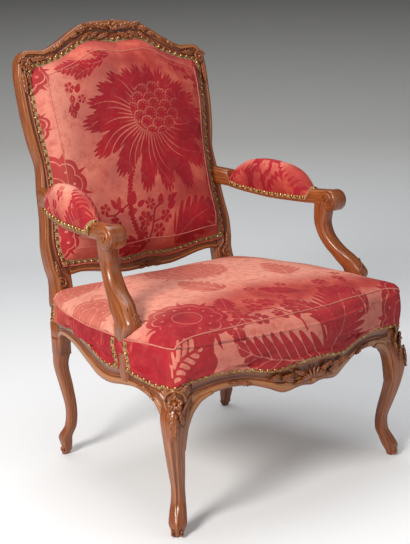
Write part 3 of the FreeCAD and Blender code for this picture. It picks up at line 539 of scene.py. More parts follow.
# Wood members
def relief(share):
    """Height of a moulding over its face by the share of its width: a round, a groove, then a hollow and a fillet."""
    torus = 1.2 * np.sqrt(np.clip(1 - ((share - 0.2) / 0.2) ** 2, 0, 1)) - 1.0
    cove = -0.6 - 2.4 * np.sin(np.pi * np.clip((share - 0.47) / 0.43, 0, 1)) ** 0.8
    groove = -2.6 * np.exp(-((share - 0.43) / 0.035) ** 2)
    return np.where(share < 0.41, torus, cove) + groove


def squared(a, power):
    """Reach of a rounded square at angles a: the higher the power, the sharper its corners."""
    return (np.abs(np.cos(a)) ** power + np.abs(np.sin(a)) ** power) ** (-1 / power)


def moulded(foot, across, front, width, band, thickness):
    """Section of a show-wood member carried along: back edge, side, moulded face, step down, ground."""
    n = len(foot)
    across, front = np.broadcast_to(across, (n, 3)), np.broadcast_to(front, (n, 3))
    one, pair, t = np.ones(n), (1, 1), np.linspace(0, 1, 34)
    turn = np.linspace(np.pi, np.pi / 2, 6)[:-1]
    face_q = np.outer(one, relief(t))
    w = np.concatenate([np.outer(one, (2, 0, 0, 0)), np.outer(one, edge_round + edge_round * np.cos(turn)),
                        edge_round + np.outer(band - edge_round, t), np.outer(band, pair) + (0, 1.5),
                        np.outer(width, pair)], 1)
    q = np.concatenate([np.outer(one, (-thickness, 2 - thickness, -0.62 * thickness, -0.3 * thickness)),
                        np.outer(one, -4.0 + edge_round * np.sin(turn)), face_q,
                        np.outer(one, (-rebate, -rebate, -rebate, -thickness))], 1)
    grid = foot[:, None] + across[:, None] * w[..., None] + front[:, None] * q[..., None]
    s = lengths(foot)
    around = np.concatenate([np.zeros((n, 1)), np.cumsum(np.hypot(np.diff(w, axis=1), np.diff(q, axis=1)), 1)], 1)
    uv = joined(s[:, None], around)
    # How sunk each point of the moulded face lies: painted shade in the groove and the hollow, a painted highlight on
    # the round.
    hollow = np.zeros_like(w)
    hollow[:, 4 + len(turn):-4] = np.clip(-(face_q + 1.0) / 2.6, -0.6, 1)
    return grid, uv, hollow


def wood_piece(name, parts, node):
    """A show-wood piece from a grid, its UVs and its hollows, in place of a solid."""
    grid, uv, hollow = parts
    obj = build(name, grid, wood, wrap_v=True, cap_u=True, fields={"hollow": hollow}, uv=uv)
    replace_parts(obj, node)


def both_sides(name, parts, node):
    """The same piece on the right and, mirrored, on the left."""
    wood_piece(name + "_right", parts, node + "_right")
    wood_piece(name + "_left", (mirrored(parts[0]), *parts[1:]), node + "_left")


# Seat rails
x = np.linspace(-front_shoulder - 4, front_shoulder + 4, 241)
low = front_low_z(x)
foot = joined(x, front_face_y(x), low)
rail = moulded(foot, [0, 0, 1], [0, -1, 0], rail_top - low, front_nail_z(x) - nail_inset - low, rail_thickness)
wood_piece("front_rail", rail, "front_seat_rail")
y = np.linspace(side_front_shoulder - 4, rear_block_front + 2, 201)
low = side_low_z(y)
foot = joined(side_face_x(y), y, low)
rail = moulded(foot, [0, 0, 1], [1, 0, 0], rail_top - low, side_nail_z(y) - nail_inset - low, rail_thickness)
both_sides("side_rail", rail, "side_rail")

# Back: stiles, crest and lower rail
z = np.linspace(stile_foot_z - 10, stile_joint_z, 221)
outer = stile_outer_x(np.clip(z, stile_foot_z, None))
inner = stile_show_x(np.clip(z, stile_foot_z, None)) - stile_tongue
inner = np.where(z < lower_edge_z(lower_rail_half), stile_post_inner, inner)
inner = np.where((z >= lower_edge_z(lower_rail_half)) & (z < lower_rail_top + 10), np.minimum(inner, 216), inner)
band = outer - stile_show_x(np.clip(z, stile_foot_z, None))
post = np.clip((448 - z) / 14, 0, 1)
band = band + post * (outer - stile_post_inner - 3 - band)
stile = moulded(on_back(outer, z), [-1, 0, 0], BACK_FRONT, outer - inner, band, back_thickness)
both_sides("back_stile", stile, "rear_leg")

ear_outer = np.array([(0, 0), (1, 24), (8, 52), (24, 69), (46, 71)], float)
ear_inner = np.array([(0, 0), (1, 3), (3, 7), (8, 11), (16, 13)], float)
joint_outer, joint_inner = float(stile_outer_x(stile_joint_z)), float(stile_show_x(stile_joint_z) - stile_tongue)
share = np.linspace(0.74, 0.0, 90)
top_x = share * back_half
start_line = [(joint_outer - a, stile_joint_z + b) for a, b in ear_outer] + list(zip(top_x, crest_outer_z(top_x)))
end_line = [(joint_inner - a, stile_joint_z + b) for a, b in ear_inner]
end_line += list(zip(top_x, crest_show_z(top_x) - crest_tongue))
band_line = [stile_band + b / 6 for a, b in ear_inner] + list(crest_outer_z(top_x) - crest_show_z(top_x))
start_line, end_line, band_line = np.array(start_line), np.array(end_line), np.array(band_line)
at = np.linspace(0, 1, len(start_line))
fine = np.concatenate([np.linspace(0, 5 / (len(at) - 1), 50, endpoint=False), at[5:]])
start_line = np.stack([smooth(joined(at, start_line[:, k]), fine) for k in (0, 1)], -1)
end_line = np.stack([smooth(joined(at, end_line[:, k]), fine) for k in (0, 1)], -1)
band_line = smooth(joined(at, band_line), fine)
start = on_back(start_line[:, 0], start_line[:, 1])
end = on_back(end_line[:, 0], end_line[:, 1])
start = np.concatenate([start, mirrored(start)[::-1][1:]])
end = np.concatenate([end, mirrored(end)[::-1][1:]])
band = np.concatenate([band_line, band_line[::-1][1:]])
across = unit(end - start)
crest = moulded(start, across, BACK_FRONT, np.linalg.norm(end - start, axis=1), band, back_thickness)
wood_piece("crest", crest, "crest_rail")

x = np.linspace(-lower_rail_half - 8, lower_rail_half + 8, 181)
xc = np.clip(x, -lower_rail_half, lower_rail_half)
low = lower_edge_z(xc)
lower = moulded(on_back(x, low), BACK_UP, BACK_FRONT, (lower_rail_top - low) / math.cos(rake),
                (lower_show_z(xc) - low) / math.cos(rake), back_thickness)
wood_piece("lower_rail", lower, "lower_back_rail")


# Legs
def leg(course, diagonal, groove):
    """Rounded square section carried up a course. The square's corner points outwards along the diagonal, with a
    groove down it between two ridges."""
    c = np.array(course, float)
    z = np.linspace(c[0, 0], c[-1, 0], 150)
    cx, cy, side = (smooth(c[:, [0, k]], z) for k in (1, 2, 3))
    a = np.linspace(-np.pi, np.pi, 72, endpoint=False)
    reach = squared(a, 3.4)
    away = (a - diagonal + np.pi) % (2 * np.pi) - np.pi
    fade = np.clip((z - 30) / 40, 0, 1) * np.clip((235 - z) / 30, 0, 1)
    cut = groove * (-1.6 * np.exp(-(away / 0.11) ** 2) + 0.9 * np.exp(-((np.abs(away) - 0.3) / 0.12) ** 2))
    r = side[:, None] / 2 * reach[None] + fade[:, None] * cut[None]
    grid = joined(cx[:, None] + r * np.cos(a), cy[:, None] + r * np.sin(a), z[:, None])
    uv = joined(z[:, None], a * 16)
    # Sunk along the groove for painted shade there, raised on the two ridges for a painted highlight.
    hollow = fade[:, None] * groove * (1.0 * np.exp(-(away / 0.12) ** 2)
                                       - 0.5 * np.exp(-((np.abs(away) - 0.3) / 0.12) ** 2))[None]
    return grid, uv, hollow


both_sides("front_leg", leg(front_leg_course, -np.pi / 4, 1.0), "front_leg")
both_sides("rear_leg", leg(rear_leg_course, np.pi / 4, 0.6), "rear_leg")


def block(course):
    """A squared post through four-cornered sections given by height and X, Y ranges."""
    z, x0, x1, y0, y1 = np.array(course, float).T[:, :, None]
    a = np.linspace(0, 2 * np.pi, 48, endpoint=False) + np.pi / 4
    reach = squared(a, 9.0)
    px = (x0 + x1) / 2 + (x1 - x0) / 2 * reach * np.cos(a)
    py = (y0 + y1) / 2 + (y1 - y0) / 2 * reach * np.sin(a)
    grid = joined(px, py, z)
    return grid, joined(grid[..., 2], np.arange(48) * 3.6), np.zeros(grid.shape[:2])


both_sides("front_block", block([(262, 278, 322, -283, -239), (314, 277, 323, -284, -238),
                                 (318, 277, 319, -280, -238), (371, 277, 319, -280, -238)]), "front_leg")
both_sides("rear_block", block([(262, 250, 282, 203, 241), (334, 250, 280, 203, 247), (338, 250, 276, 203, 247),
                                (390, 224, 270, 222, 254)]), "rear_leg")
wood_piece("rear_rail", block([(300, -250, 250, 211, 237), (371, -250, 250, 211, 237)]), "rear_seat_rail")


def bracket(name, path, end, place, front):
    """The curved corner where a rail's moulding runs down on to the leg: a moulded band between two lines."""
    at = np.linspace(0, 1, 40)
    low, high = along(np.array(path, float), at), along(np.array(end, float), at)
    low = np.stack([smooth(joined(at, low[:, k])[::4], at) for k in (0, 1)], -1)
    foot, tip = place(low[:, 0], low[:, 1]), place(high[:, 0], high[:, 1])
    width = np.linalg.norm(tip - foot, axis=1)
    parts = moulded(foot, unit(tip - foot), front, width, width * 0.8, 24.0)
    both_sides(name, parts, "front_leg")


bracket("front_bracket", [(232, 284), (256, 275), (276, 256), (289, 230), (296, 200), (300, 172)],
        [(250, 302), (282, 302), (304, 288), (313, 262), (315, 225), (313, 178)],
        lambda x, z: joined(x, front_face_y(x) - 1.5, z), [0, -1, 0])
bracket("side_bracket", [(-196, 286), (-218, 274), (-236, 254), (-246, 228), (-251, 200), (-254, 172)],
        [(-212, 302), (-242, 302), (-262, 288), (-270, 262), (-272, 225), (-270, 178)],
        lambda y, z: joined(side_face_x(y) + 1.5, y, z), [1, 0, 0])


# Arms and supports
def rounded(middle, half_a, half_b, power, count=56):
    """Rounded rectangle carried along a middle line, its half width and half depth given as vectors."""
    a = np.linspace(0, 2 * np.pi, count, endpoint=False)
    reach = squared(a, power)[:, None]
    grid = (middle[:, None] + np.atleast_2d(half_a)[:, None] * (reach * np.cos(a)[:, None])
            + np.atleast_2d(half_b)[:, None] * (reach * np.sin(a)[:, None]))
    run = lengths(middle)
    uv = joined(run[:, None], a * 18)
    return grid, uv, np.zeros(grid.shape[:2])


y = np.linspace(-74, 282, 170)
in_pad = np.clip((y + 22) / 10, 0, 1) * np.clip((232 - y) / 10, 0, 1)
over = smooth(arm_over_line, y)
under = smooth(arm_under_line, y)
over = over + in_pad * (under + 9 - over)
middle = joined(smooth(arm_middle_line, y), y, (over + under) / 2)
arm = rounded(middle, [17, 0, 0], joined(0, 0, (over - under) / 2), 4.0)
both_sides("arm", arm, "arm")

a = np.linspace(0, 2 * np.pi, 60, endpoint=False)
w = np.array([-21, -20, -17, -8, 0, 8, 17, 20, 21.0])
r = np.array([20, 23.5, 25, 25.4, 25.4, 25.4, 25, 23.5, 20.0])
grid = joined(scroll[0] + w[:, None], scroll[1] + r[:, None] * np.cos(a), scroll[2] + r[:, None] * np.sin(a))
uv = joined(a * 25, w[:, None])
both_sides("arm_scroll", (grid, uv, np.zeros((9, 60))), "arm")

c = np.array(support_swing, float)
z = np.linspace(c[0, 0], c[-1, 0], 150)
middle = joined(smooth(c[:, [0, 1]], z), smooth(c[:, [0, 2]], z), z)
depth = smooth(c[:, [0, 3]], z)
support = rounded(middle, [19, 0, 0], joined(0, depth / 2, 0), 2.8)
both_sides("arm_support", support, "arm_support")


# Soft forms
def patch(south, north, west, east):
    """Surface between four edge lines: each pair of opposite edges blended, less the blend of the four corners."""
    u = lengths(south)
    u = (u / u[-1])[None, :, None]
    v = lengths(west)
    v = (v / v[-1])[:, None, None]
    ruled_v = south[None] * (1 - v) + north[None] * v
    ruled_u = west[:, None] * (1 - u) + east[:, None] * u
    corners = (south[0] * (1 - u) + south[-1] * u) * (1 - v) + (north[0] * (1 - u) + north[-1] * u) * v
    return ruled_v + ruled_u - corners


def edge_distance(grid):
    """Distance along the rows and columns from each point to the nearest edge, with the corners rounded off."""
    run_u = np.linalg.norm(np.diff(grid, axis=1), axis=-1)
    run_v = np.linalg.norm(np.diff(grid, axis=0), axis=-1)
    u = np.concatenate([np.zeros((grid.shape[0], 1)), np.cumsum(run_u, 1)], 1)
    v = np.concatenate([np.zeros((1, grid.shape[1])), np.cumsum(run_v, 0)], 0)
    du = np.maximum(np.minimum(u, u[:, -1:] - u), 1e-3)
    dv = np.maximum(np.minimum(v, v[-1:] - v), 1e-3)
    return (du ** -3.0 + dv ** -3.0) ** (-1 / 3.0)


def border_of(count_v, count_u):
    """Indices of a grid's border points in order: first row, last column, last row back, first column back."""
    i = numbered(count_v, count_u)
    return np.concatenate([i[0, :-1], i[:-1, -1], i[-1, :0:-1], i[:0:-1, 0]])


def grid_quads(count_v, count_u):
    """Faces of a grid of points, a row of the grid at a time."""
    return cells(numbered(count_v, count_u))


def sampled(field, rows_at, columns_at):
    """A field on a coarse grid read between its points, at shares from 0 to 1 down its rows and columns."""
    v, u = rows_at * (field.shape[0] - 1), columns_at * (field.shape[1] - 1)
    i, j = np.minimum(v.astype(int), field.shape[0] - 2), np.minimum(u.astype(int), field.shape[1] - 2)
    fv, fu = (v - i)[..., None], (u - j)[..., None]
    fv, fu = fv * fv * (3 - 2 * fv), fu * fu * (3 - 2 * fu)
    return ((field[i, j] * (1 - fv) + field[i + 1, j] * fv) * (1 - fu)
            + (field[i, j + 1] * (1 - fv) + field[i + 1, j + 1] * fv) * fu)


fill_frames = 20


def inflated(name, verts, quads, held, most):
    """How far each point moves when the cover, nailed down at the held points, is filled: a cloth simulation of a
    few thousand faces, with no point moving further than the most given."""
    verts = np.asarray(verts, float)
    me = bpy.data.meshes.new(name)
    me.from_pydata((verts * MM).tolist(), [], quads.tolist())
    obj = bpy.data.objects.new(name, me)
    bpy.context.scene.collection.objects.link(obj)
    pins = obj.vertex_groups.new(name="held")
    pins.add([int(i) for i in np.flatnonzero(held)], 1.0, "REPLACE")
    cloth = obj.modifiers.new("fill", "CLOTH")
    cloth.settings.vertex_group_mass = "held"
    cloth.settings.use_pressure = True
    cloth.settings.uniform_pressure_force = 4.0
    cloth.settings.tension_stiffness = 12.0
    cloth.settings.compression_stiffness = 12.0
    cloth.settings.bending_stiffness = 0.4
    cloth.settings.quality = 6
    cloth.settings.effector_weights.gravity = 0.0
    cloth.point_cache.frame_end = fill_frames
    for number in range(1, fill_frames + 1):
        bpy.context.scene.frame_set(number)
    filled = obj.evaluated_get(bpy.context.evaluated_depsgraph_get()).to_mesh()
    moved = np.empty(len(verts) * 3)
    filled.vertices.foreach_get("co", moved)
    move = moved.reshape(-1, 3) * 1000 - verts
    bpy.context.scene.frame_set(1)
    bpy.data.objects.remove(obj, do_unlink=True)
    bpy.data.meshes.remove(me)
    size = np.linalg.norm(move, axis=-1, keepdims=True)
    return move * np.minimum(1, most / np.maximum(size, 1e-6))


# Seat: a boxed cover, its top dished up in a crown and its wall nailed along the rails
seam_z = 396.0
seam_swell = 12.0
rear_foot_z = 356.0
nail_lean = 0.8
crown_line = [(0, 396), (2, 401), (6, 408), (14, 416), (26, 422), (44, 428.5), (64, 433.5), (97, 439), (137, 443),
              (177, 445.5), (217, 446.5), (320, 447)]


def seat_loop(count_x, count_y):
    """Level outline of the wood under the cover, from the front left corner round past the right: the bowed front,
    round front corners, the bowed sides and the straight rear."""
    bend = np.linspace(-np.pi / 2, 0, 21)
    corner_x, corner_y, corner_radius = 309, -270, 14
    corner = joined(corner_x + corner_radius * np.cos(bend), corner_y + corner_radius * np.sin(bend))
    x = np.linspace(-corner_x, corner_x, 400)
    front = joined(x, front_face_y(x))
    y = np.linspace(-269, seat_rear_y, 400)
    side = joined(side_face_x(y), y)
    flip = np.array([-1.0, 1])
    front = np.concatenate([(corner[:11] * flip)[::-1], front[1:-1], corner[:11]])
    side = np.concatenate([corner[10:], side])
    rear = joined(np.linspace(side[-1, 0], -side[-1, 0], 50), seat_rear_y)
    tx, ty = np.linspace(0, 1, count_x), np.linspace(0, 1, count_y)
    return np.concatenate([along(front, tx)[:-1], along(side, ty)[:-1], along(rear, tx)[:-1],
                           along((side * flip)[::-1], ty)[:-1]])


def level_normals(loop):
    """Outward level directions along a closed line that runs round to the left."""
    step = np.roll(loop, -1, 0) - np.roll(loop, 1, 0)
    return unit(joined(step[:, 1], -step[:, 0]))


def inset_ring(grid, rows_in, columns_in):
    """Points of a grid in a ring, so many rows and columns in from its border."""
    r, c = rows_in, columns_in
    return np.concatenate([grid[r, c:-c], grid[r:-r, -c], grid[-r, -c:c:-1], grid[-r:r:-1, c]])


def eased(values, width):
    """A closed line's values averaged over so many neighbours on each side."""
    return sum(np.roll(values, k, 0) for k in range(-width, width + 1)) / (2 * width + 1)


def seat_foot_z(loop):
    """Height of the nails below each point of the outline."""
    front = front_nail_z(np.clip(loop[:, 0], -seat_front_half, seat_front_half))
    sides = side_nail_z(loop[:, 1])
    on_front = np.abs(loop[:, 0]) - seat_front_half * 0.955
    share = np.clip(on_front / 12 + 0.5, 0, 1) * (loop[:, 1] < -230) + (loop[:, 1] >= -230)
    z = front * (1 - share) + sides * share
    rear = np.clip((seat_rear_y + 0.5 - loop[:, 1]) / 3, 0, 1)
    return z * rear + rear_foot_z * (1 - rear)


def seat_surfaces(count_x, count_y, rows_count):
    """The seat's top and its wall as grids. The wall leans out from the nails to the seam; the top rises from the
    seam by the distance from its edge."""
    base = seat_loop(count_x, count_y)
    out = level_normals(base)
    out = unit(eased(out, max(2, len(base) // 160)))
    fade = 1 - 0.85 * np.clip((base[:, 1:2] - 110) / 130, 0, 1)
    rim = base + out * seam_swell * fade
    nx, ny = count_x - 1, count_y - 1
    closed = np.concatenate([rim, rim[:1]])
    south, east = closed[:nx + 1], closed[nx:nx + ny + 1]
    north, west = closed[nx + ny:2 * nx + ny + 1][::-1], closed[2 * nx + ny:][::-1]
    top = patch(south, north, west, east)
    d = edge_distance(top)
    # Crossing lines near a round corner bunch up, so the height there follows the distance from the rim
    top = np.concatenate([top, smooth(crown_line, d)[..., None]], -1)
    v = np.linspace(0, 1, rows_count)
    foot = seat_foot_z(base)
    z = foot[:, None] - nail_inset + (seam_z - foot[:, None] + nail_inset) * v[None]
    lean = nail_lean + (seam_swell * fade - nail_lean) * np.sin(np.pi / 2 * v[None]) ** 0.75
    wall = np.concatenate([base[:, None] + out[:, None] * lean[..., None], z[..., None]], -1)
    return base, out, top, wall


seat_base, seat_out, seat_top, seat_wall = seat_surfaces(300, 250, 48)


# Back: a boxed pad on the slanting frame
back_ear = float(stile_show_x(stile_joint_z))
back_rise_line = [(0, 0.4), (7, 1.2), (12, 5), (17, 12), (24, 20), (34, 29), (44, 34.5), (58, 38.5), (80, 41.5),
                  (120, 44.5), (180, 46.5), (260, 47)]


def back_sheet(count_x, count_y):
    """The back's edge lines joined by a flat sheet, on the front of the frame."""
    z = np.linspace(482, 880, 200)
    side = on_back(stile_show_x(np.clip(z, 0, 868)), z)
    foot = on_back([float(stile_show_x(478.0)) - 7], [float(lower_show_z(212.0)) + 4.0])
    turn = on_back([back_ear - 4, back_ear - 9], [896, 907])
    side = np.concatenate([foot, side, turn])
    x = np.linspace(-212, 212, 200)
    low = on_back(x, lower_show_z(x))
    flip = np.array([-1.0, 1, 1])
    low = np.concatenate([side[:1] * flip, low[6:-6], side[:1]])
    x = np.linspace(-218, 218, 200)
    high = on_back(x, crest_show_z(x))
    turn = on_back([back_ear - 9, back_ear - 18], [907, 916])
    high = np.concatenate([turn * flip, high, turn[::-1]])
    tx, ty = np.linspace(0, 1, count_x), np.linspace(0, 1, count_y)
    east = along(side, ty)
    return patch(along(low, tx), along(high, tx), east * flip, east)


def back_surface(count_x, count_y):
    """The pad's front: the flat sheet raised by the distance from its edge."""
    sheet = back_sheet(count_x, count_y)
    d = edge_distance(sheet)
    return sheet, d, sheet + smooth(back_rise_line, d)[..., None] * BACK_FRONT


back_flat, back_edge, back_front = back_surface(250, 260)


# Velvet figure. Each function gives, over arrays of places on the cloth in mm, about how far a place lies inside the
# pile of its motif: above 0 is raised crimson pile, below 0 the flat ground.
def turned(u, v, at, degrees):
    """Places measured along and across a direction from a point."""
    c, s = math.cos(math.radians(degrees)), math.sin(math.radians(degrees))
    return (u - at[0]) * c + (v - at[1]) * s, -(u - at[0]) * s + (v - at[1]) * c


def ribbon(u, v, points, width, ragged=0.0, pitch=9.0):
    """Half the width less the distance to a bent line, the width rising and falling along it in teeth."""
    best = np.full(u.shape, -1e3)
    run = 0.0
    points = np.array(points, float)
    for a, b in zip(points[:-1], points[1:]):
        step = b - a
        long = np.hypot(*step)
        t = np.clip(((u - a[0]) * step[0] + (v - a[1]) * step[1]) / long ** 2, 0, 1)
        far = np.hypot(u - a[0] - t * step[0], v - a[1] - t * step[1])
        wide = width / 2 + ragged * (2 * np.abs((run + t * long) / pitch % 1 - 0.5) - 0.5)
        best = np.maximum(best, wide - far)
        run += long
    return best


def leaf(u, v, root, degrees, length, width, bend=0.0, lobes=5, cut=0.5, vein=1.5, open_tips=False):
    """A leaf from its root: half its width at each place along, narrowed where lobes meet, less the distance from a
    rib bent as a parabola. Ground shows along the rib and as flames between the lobes, which widen towards the edge
    where the tips are open and towards the rib otherwise."""
    a, b = turned(u, v, root, degrees)
    t = a / length
    inside = np.clip(t, 0, 1)
    b = b - bend * 4 * inside * (1 - inside)
    half = width / 2 * np.sin(np.pi * inside ** 0.75) ** 0.7
    phase = (inside - 1.3 * np.abs(b) ** 0.96 / length) * lobes + 0.3
    near = np.abs(phase - np.round(phase))
    value = half * (1 - cut * np.exp(-(near / 0.2) ** 2)) - np.abs(b)
    value = np.minimum(value, np.minimum(a, length - a) * 0.6)
    outward = np.clip(np.abs(b) / np.maximum(half, 1), 0, 1)
    gap = 0.25 + 1.2 * outward ** 3 if open_tips else 0.55 * np.clip(1.5 - outward * 1.4, 0, 1)
    flame = near * length / lobes - vein * gap
    rib = np.abs(b) - vein * 0.8 * (1 - 0.7 * inside)
    return np.minimum(value, np.minimum(flame, rib))


def leaflet(u, v, root, degrees, length, width):
    """A small leaf, straight and whole, with no veins."""
    return leaf(u, v, root, degrees, length, width, 0, 1, 0, 0)


def blossom(u, v, at, radius, petals=5, turn=0.0):
    """A small flower: scalloped petals with ground between them and a pale eye."""
    r = np.hypot(u - at[0], v - at[1])
    a = np.arctan2(v - at[1], u - at[0]) + math.radians(turn)
    wave = np.abs(np.cos(petals * a / 2))
    value = radius * (0.62 + 0.38 * wave ** 0.6) - r
    between = r * np.abs(np.sin(petals * a / 2 + np.pi / 2)) * 2 / petals - 1.1
    between = np.where((r > 0.3 * radius) & (r < 0.8 * radius), between, 9)
    return np.minimum(value, np.minimum(between, r - 0.2 * radius))


def lace(u, v, at, radius, lobes=8, turn=0.0):
    """A round of lace: a scalloped disc with a pale line inside its edge, a ring of pale dots and a toothed crest."""
    r = np.hypot(u - at[0], v - at[1])
    a = np.arctan2(v - at[1], u - at[0]) + math.radians(turn)
    scallop = np.abs(np.sin(lobes * a / 2))
    edge = radius * (0.84 + 0.16 * scallop ** 0.7)
    value = edge - r
    tooth = radius * 1.2 - 9 * np.abs(np.sin(lobes * a)) - 46 * np.abs(np.sin(lobes * a / 2)) ** 0.8 - r
    value = np.maximum(value, tooth)
    line = np.abs(r - edge * 0.85) - 1.5
    centre = (np.round(a * lobes / (2 * np.pi) - 0.5) + 0.5) * 2 * np.pi / lobes
    dot = np.hypot(r * np.cos(a - centre) - radius * 0.6, r * np.sin(a - centre)) - 3.2
    inner = np.abs(r - radius * 0.36) - 1.2
    return np.minimum(value, np.minimum(np.minimum(line, dot), inner))


def bloom(u, v, at):
    """The great flower: toothed petals of uneven reach round a heart of overlapping scales, with pale veins that run
    out from under the heart and stop at different lengths."""
    x, y = u - at[0], v - at[1]
    r, a = np.hypot(x, y), np.degrees(np.arctan2(y, x))
    petals = [(-69, 226, 9), (-87, 212, 9), (-106, 214, 9), (-130, 206, 10), (-151, 217, 9), (-171, 212, 10),
              (174, 190, 9), (159, 168, 10), (144, 151, 9), (128, 124, 10), (112, 115, 11), (92, 107, 12),
              (70, 99, 12), (50, 100, 12), (28, 113, 13), (8, 132, 12), (-10, 152, 11), (-28, 180, 11),
              (-50, 207, 11)]
    edge = np.zeros_like(r)
    for angle, reach, wide in petals:
        away = (a - angle + 180) % 360 - 180
        fingers = np.abs(np.cos(np.pi * np.radians(away) * reach / 10.5))
        outline = reach * (1 - 0.26 * np.clip(np.abs(away) / wide, 0, 1.6) ** 2.2) - 19 * (1 - fingers ** 0.8)
        edge = np.maximum(edge, np.where(np.abs(away) < wide * 1.5, outline, 0))
    value = np.clip(edge - r, -20, 20) * 0.6
    # Veins start from a place under the heart and bend as they go
    vx, vy = x + 22, y + 22
    vr = np.hypot(vx, vy)
    va = np.arctan2(vy, vx) + 0.16 * np.sin(vr / 45.0)
    count = 44
    index = np.round(va * count / (2 * np.pi))
    reach = 0.42 + 0.42 * np.abs(np.sin(index * 2.4 + 0.7)) ** 1.5
    ends = np.clip(1 - vr / (reach * np.maximum(edge, 90) * 1.12), 0, 1)
    vein = np.abs(va - index * 2 * np.pi / count) * vr - 2.3 * ends ** 0.5
    value = np.minimum(value, np.where((ends > 0) & (vr > 20), vein, 9))
    # Heart: rows of scales, each lower one over the ones above it
    hx, hy = (x - 4) / 73.0, y / 64.0
    heart = 1 - np.hypot(hx, hy)
    scales = np.full(r.shape, 3.0)
    for row in range(6):
        for column in range(-3, 4):
            cx = (column + 0.5 * (row % 2)) * 33.0 + 4 + 3.0 * math.sin(row * 2.1)
            cy = 50 - row * 21.0 + 4.0 * math.sin(column * 1.9 + row)
            if math.hypot((cx - 4) / 74.0, cy / 66.0) > 0.95:
                continue
            px, py = x - cx, (y - cy + 5) * 1.12
            pr, pa = np.hypot(px, py), np.arctan2(py, px)
            rim = 17.5 + 1.3 * np.abs(np.sin(pa * 5))
            fan = (np.abs(np.sin(pa * 5.0)) - 0.38) * pr * 0.35
            one = np.where(pr > rim - 2.8, -2.6, np.where(pr > rim * 0.34, np.minimum(fan, (rim - 2.8 - pr) * 0.8),
                                                          2.5))
            one = np.where(pr > rim, 2.5, one)
            scales = np.where(pr < rim + 2.6, one, scales)
    ring = np.abs(heart) * 68 - 1.4 * (x + y < 25)
    value = np.where(heart > 0.0, scales, np.minimum(value, ring))
    return value


def crowd(u, v, motifs):
    """The highest of many motifs' values at each place. Each kind has a list of what its motifs take."""
    value = np.full(u.shape, -20.0)
    for motif, each in motifs.items():
        for about in each:
            value = np.maximum(value, motif(u, v, *about))
    return value


def back_figure(u, v):
    """The back's figure: the great flower on its stem, sprigs, a leaf at each side, lace up the edges."""
    curl = [((150 + 14 * k, 447 - 11 * k), 100 - 150 * (k % 2), 17, 9) for k in range(7)]
    curl += [((143 + 14 * k, 440 - 11 * k), -60 + 150 * (k % 2), 15, 9) for k in range(6)]
    value = crowd(u, v, {
        leaf: [((-160, 388), -100, 26, 15, 0, 3, 0.4, 0.8), ((-168, 366), -80, 34, 26, 0, 3, 0.5, 1.0),
               ((-92, 448), 205, 62, 34, -6, 4, 0.4, 1.6), ((-60, 466), 180, 70, 26, 8, 5, 0.4, 1.6),
               ((-40, 478), 168, 60, 20, 4, 4, 0.4, 1.5), ((-120, 462), 190, 70, 40, 6, 5, 0.4, 1.8),
               ((74, 14), 26, 172, 118, 16, 6, 0.45, 1.7, True), ((-8, 16), 168, 130, 50, 6, 5, 0.4, 1.6)],
        leaflet: [((-42, 118), 78, 34, 18), ((-60, 96), 20, 30, 17), ((58, 98), 30, 30, 18), ((36, 108), 75, 30, 17),
                  ((60, 116), 28, 36, 17), ((-88, 112), 120, 30, 14), ((-84, 112), 80, 30, 13),
                  ((-30, 112), 30, 26, 14), ((-70, 104), 150, 24, 12), ((-150, 392), 60, 24, 14),
                  ((-150, 370), -100, 22, 12)] + curl,
        blossom: [((-122, 115), 14), ((-99, 78), 17, 6), ((7, 115), 15, 6, 20), ((-12, 80), 20, 6, 10),
                  ((50, 80), 17, 5, 15), ((-22, 50), 15, 5, 30), ((26, 48), 18, 6, 0), ((-130, 66), 12, 5, 40),
                  ((-165, 405), 13, 5), ((-137, 377), 11, 5)],
        lace: [((-268, 452), 62, 8, 0), ((-262, 322), 42, 7, 10), ((-236, 178), 78, 9, 12), ((-254, 66), 56, 8, 0),
               ((244, 160), 46, 9, 0), ((246, 70), 40, 8, 20), ((258, 300), 40, 8, 0), ((254, 430), 40, 8, 0)],
        ribbon: [([(-5, 24), (8, 60), (18, 101), (47, 118)], 5.0), ([(-6, 28), (-22, 50)], 4.0),
                 ([(12, 70), (50, 80)], 4.0), ([(14, 84), (-12, 84)], 4.0),
                 ([(-121, 100), (-98, 98), (-60, 118), (-40, 120)], 4.5), ([(-98, 98), (-99, 78)], 4.0),
                 ([(-23, 215), (-41, 177), (-50, 130), (-50, 90), (-36, 46), (-20, 20)], 13.0, 5.0),
                 ([(130, 448), (165, 434), (200, 408), (222, 384)], 3.5)]})
    flower = bloom(u, v, (61, 346))
    near = np.maximum(np.where(flower > -9, flower, -20), np.where(flower > -4, -20, value))
    return np.where(np.hypot(u - 61, v - 320) < 235, near, value)


